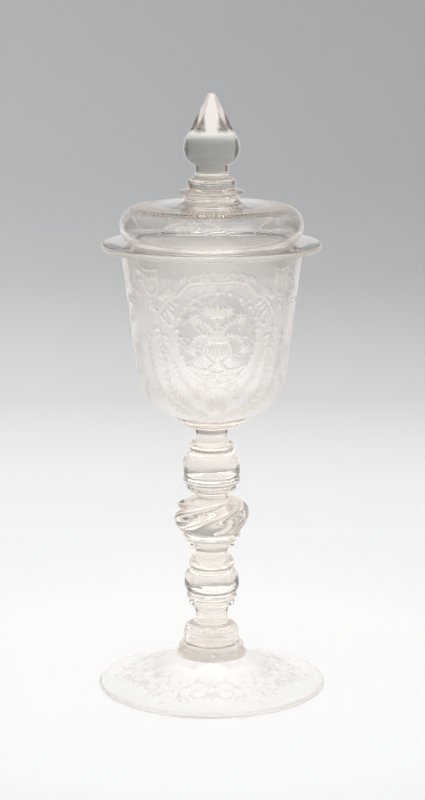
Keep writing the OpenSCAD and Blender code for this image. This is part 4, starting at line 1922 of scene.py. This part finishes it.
        # Painted reflection: what the glass mirrors of the paper is brighter than what the eye sees.
        bright = add_node(tree, "ShaderNodeValToRGB", {0: height}, self.paper_painted_reflection)
        tones = {0: self.mirrored(tree), 6: shaded.outputs[0], 7: bright.outputs[0]}
        shown = add_node(tree, "ShaderNodeMix", tones, data_type="RGBA")
        paper = add_node(tree, "ShaderNodeBsdfDiffuse", {"Color": shown.outputs[2]})
        clear = add_node(tree, "ShaderNodeBsdfTransparent", {"Color": (1, 1, 1, 1)})
        behind = add_node(tree, "ShaderNodeNewGeometry").outputs["Backfacing"]
        either = add_node(tree, "ShaderNodeMixShader", {0: behind, 1: paper.outputs[0], 2: clear.outputs[0]})
        add_node(tree, "ShaderNodeOutputMaterial", {"Surface": either.outputs[0]})
        centre = (self.paper_back - self.paper_cove, self.paper_cove)
        line = [*arc(centre, self.paper_cove, -90, 0, self.cove_steps), (self.paper_back, self.paper_height)]
        bm = bmesh.new()
        edge = [bm.verts.new((-self.paper_half, y, z)) for y, z in line]
        edges = [bm.edges.new(pair) for pair in zip(edge, edge[1:])]
        spread = bmesh.ops.extrude_edge_only(bm, edges=edges)["geom"]
        moved = [part for part in spread if isinstance(part, bmesh.types.BMVert)]
        bmesh.ops.translate(bm, verts=moved, vec=(2 * self.paper_half, 0, 0))
        bm.normal_update()
        upright = max(bm.faces, key=lambda face: face.calc_center_median().z)
        if upright.normal.y > 0:
            bmesh.ops.reverse_faces(bm, faces=bm.faces)
        self.lay("backdrop", bm, material)

    def light(self) -> None:
        """Lights the room: a wide soft lamp high in front, grey walls that fall dark at both sides, and a
        painted reflection of a brighter room that only the glass mirrors.
        """
        world = bpy.data.worlds.new("studio")
        world.use_nodes = True
        bpy.context.scene.world = world
        tree = world.node_tree
        tree.nodes.clear()
        view = add_node(tree, "ShaderNodeTexCoord").outputs["Generated"]
        parts = add_node(tree, "ShaderNodeSeparateXYZ", {0: view})
        aim = add_node(tree, "ShaderNodeVectorMath", {0: view, 1: self.lamp_aim}, operation="DOT_PRODUCT")
        side = add_node(tree, "ShaderNodeMath", {0: parts.outputs["X"]}, operation="ABSOLUTE")
        changes = []
        for value, edge, light, change in (
            (aim.outputs["Value"], self.lamp_edge, self.lamp_light, "SMOOTHSTEP"),
            (parts.outputs["Z"], self.wall_edge, self.wall_light, "LINEAR"),
            (side.outputs[0], self.side_edge, self.side_light, "SMOOTHSTEP"),
            (parts.outputs["Z"], self.mirrored_edge, self.mirrored_light, "SMOOTHSTEP"),
        ):
            ends = dict(zip(("From Min", "From Max", "To Min", "To Max"), (*edge, *light)))
            node = add_node(tree, "ShaderNodeMapRange", {"Value": value, **ends}, interpolation_type=change)
            changes.append(node.outputs[0])
        lamp, wall, dark, shine = changes
        level = add_node(tree, "ShaderNodeMath", {0: wall, 1: dark, 2: lamp}, operation="MULTIPLY_ADD")
        # Painted reflection: what the glass mirrors is a room grey low down and bright overhead all round,
        # not the lamp and walls that light the goblet.
        levels = {0: self.mirrored(tree), 2: level.outputs[0], 3: shine}
        seen = add_node(tree, "ShaderNodeMix", levels, data_type="FLOAT")
        eye = add_node(tree, "ShaderNodeLightPath").outputs["Is Camera Ray"]
        levels = {0: eye, 2: seen.outputs[0], 3: self.horizon_light}
        far = add_node(tree, "ShaderNodeMix", levels, data_type="FLOAT")
        sky = add_node(tree, "ShaderNodeBackground", {"Color": (1, 1, 1, 1), "Strength": far.outputs[0]})
        add_node(tree, "ShaderNodeOutputWorld", {"Surface": sky.outputs[0]})

    def camera(self) -> None:
        """Sets up the camera of the photograph."""
        lens = bpy.data.cameras.new("camera")
        lens.lens = self.lens
        lens.sensor_width = self.film
        made = bpy.data.objects.new("camera", lens)
        made.location = self.eye
        made.rotation_euler = (math.radians(90 - self.down), 0, 0)
        bpy.context.scene.collection.objects.link(made)
        bpy.context.scene.camera = made

    def set_up(self) -> None:
        """Sets up floor, paper, light and camera, and how many faces of glass a ray may pass."""
        scene = bpy.context.scene
        scene.view_settings.view_transform = "Standard"
        scene.cycles.max_bounces = self.glass_bounces
        scene.cycles.transmission_bounces = self.glass_bounces
        scene.cycles.glossy_bounces = self.mirror_bounces
        scene.cycles.transparent_max_bounces = self.clear_bounces
        self.floor()
        self.backdrop()
        self.light()
        self.camera()


def main() -> None:
    logging.basicConfig(level=logging.INFO, format="%(name)s: %(message)s")
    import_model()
    Studio().set_up()
    finishes = (ClearGlass(), ThickGlass(), EngravedGlass(), FusedJoint())
    shop = Workshop(*(finish.make() for finish in finishes))
    foot_top = Foot().build(shop)
    stem_top = Stem().build(shop, foot_top)
    rim = Bowl().build(shop, stem_top)
    cover_top = Cover().build(shop, rim)
    Finial().build(shop, cover_top)
    bpy.context.view_layer.update()


if __name__ == "__main__":
    main()
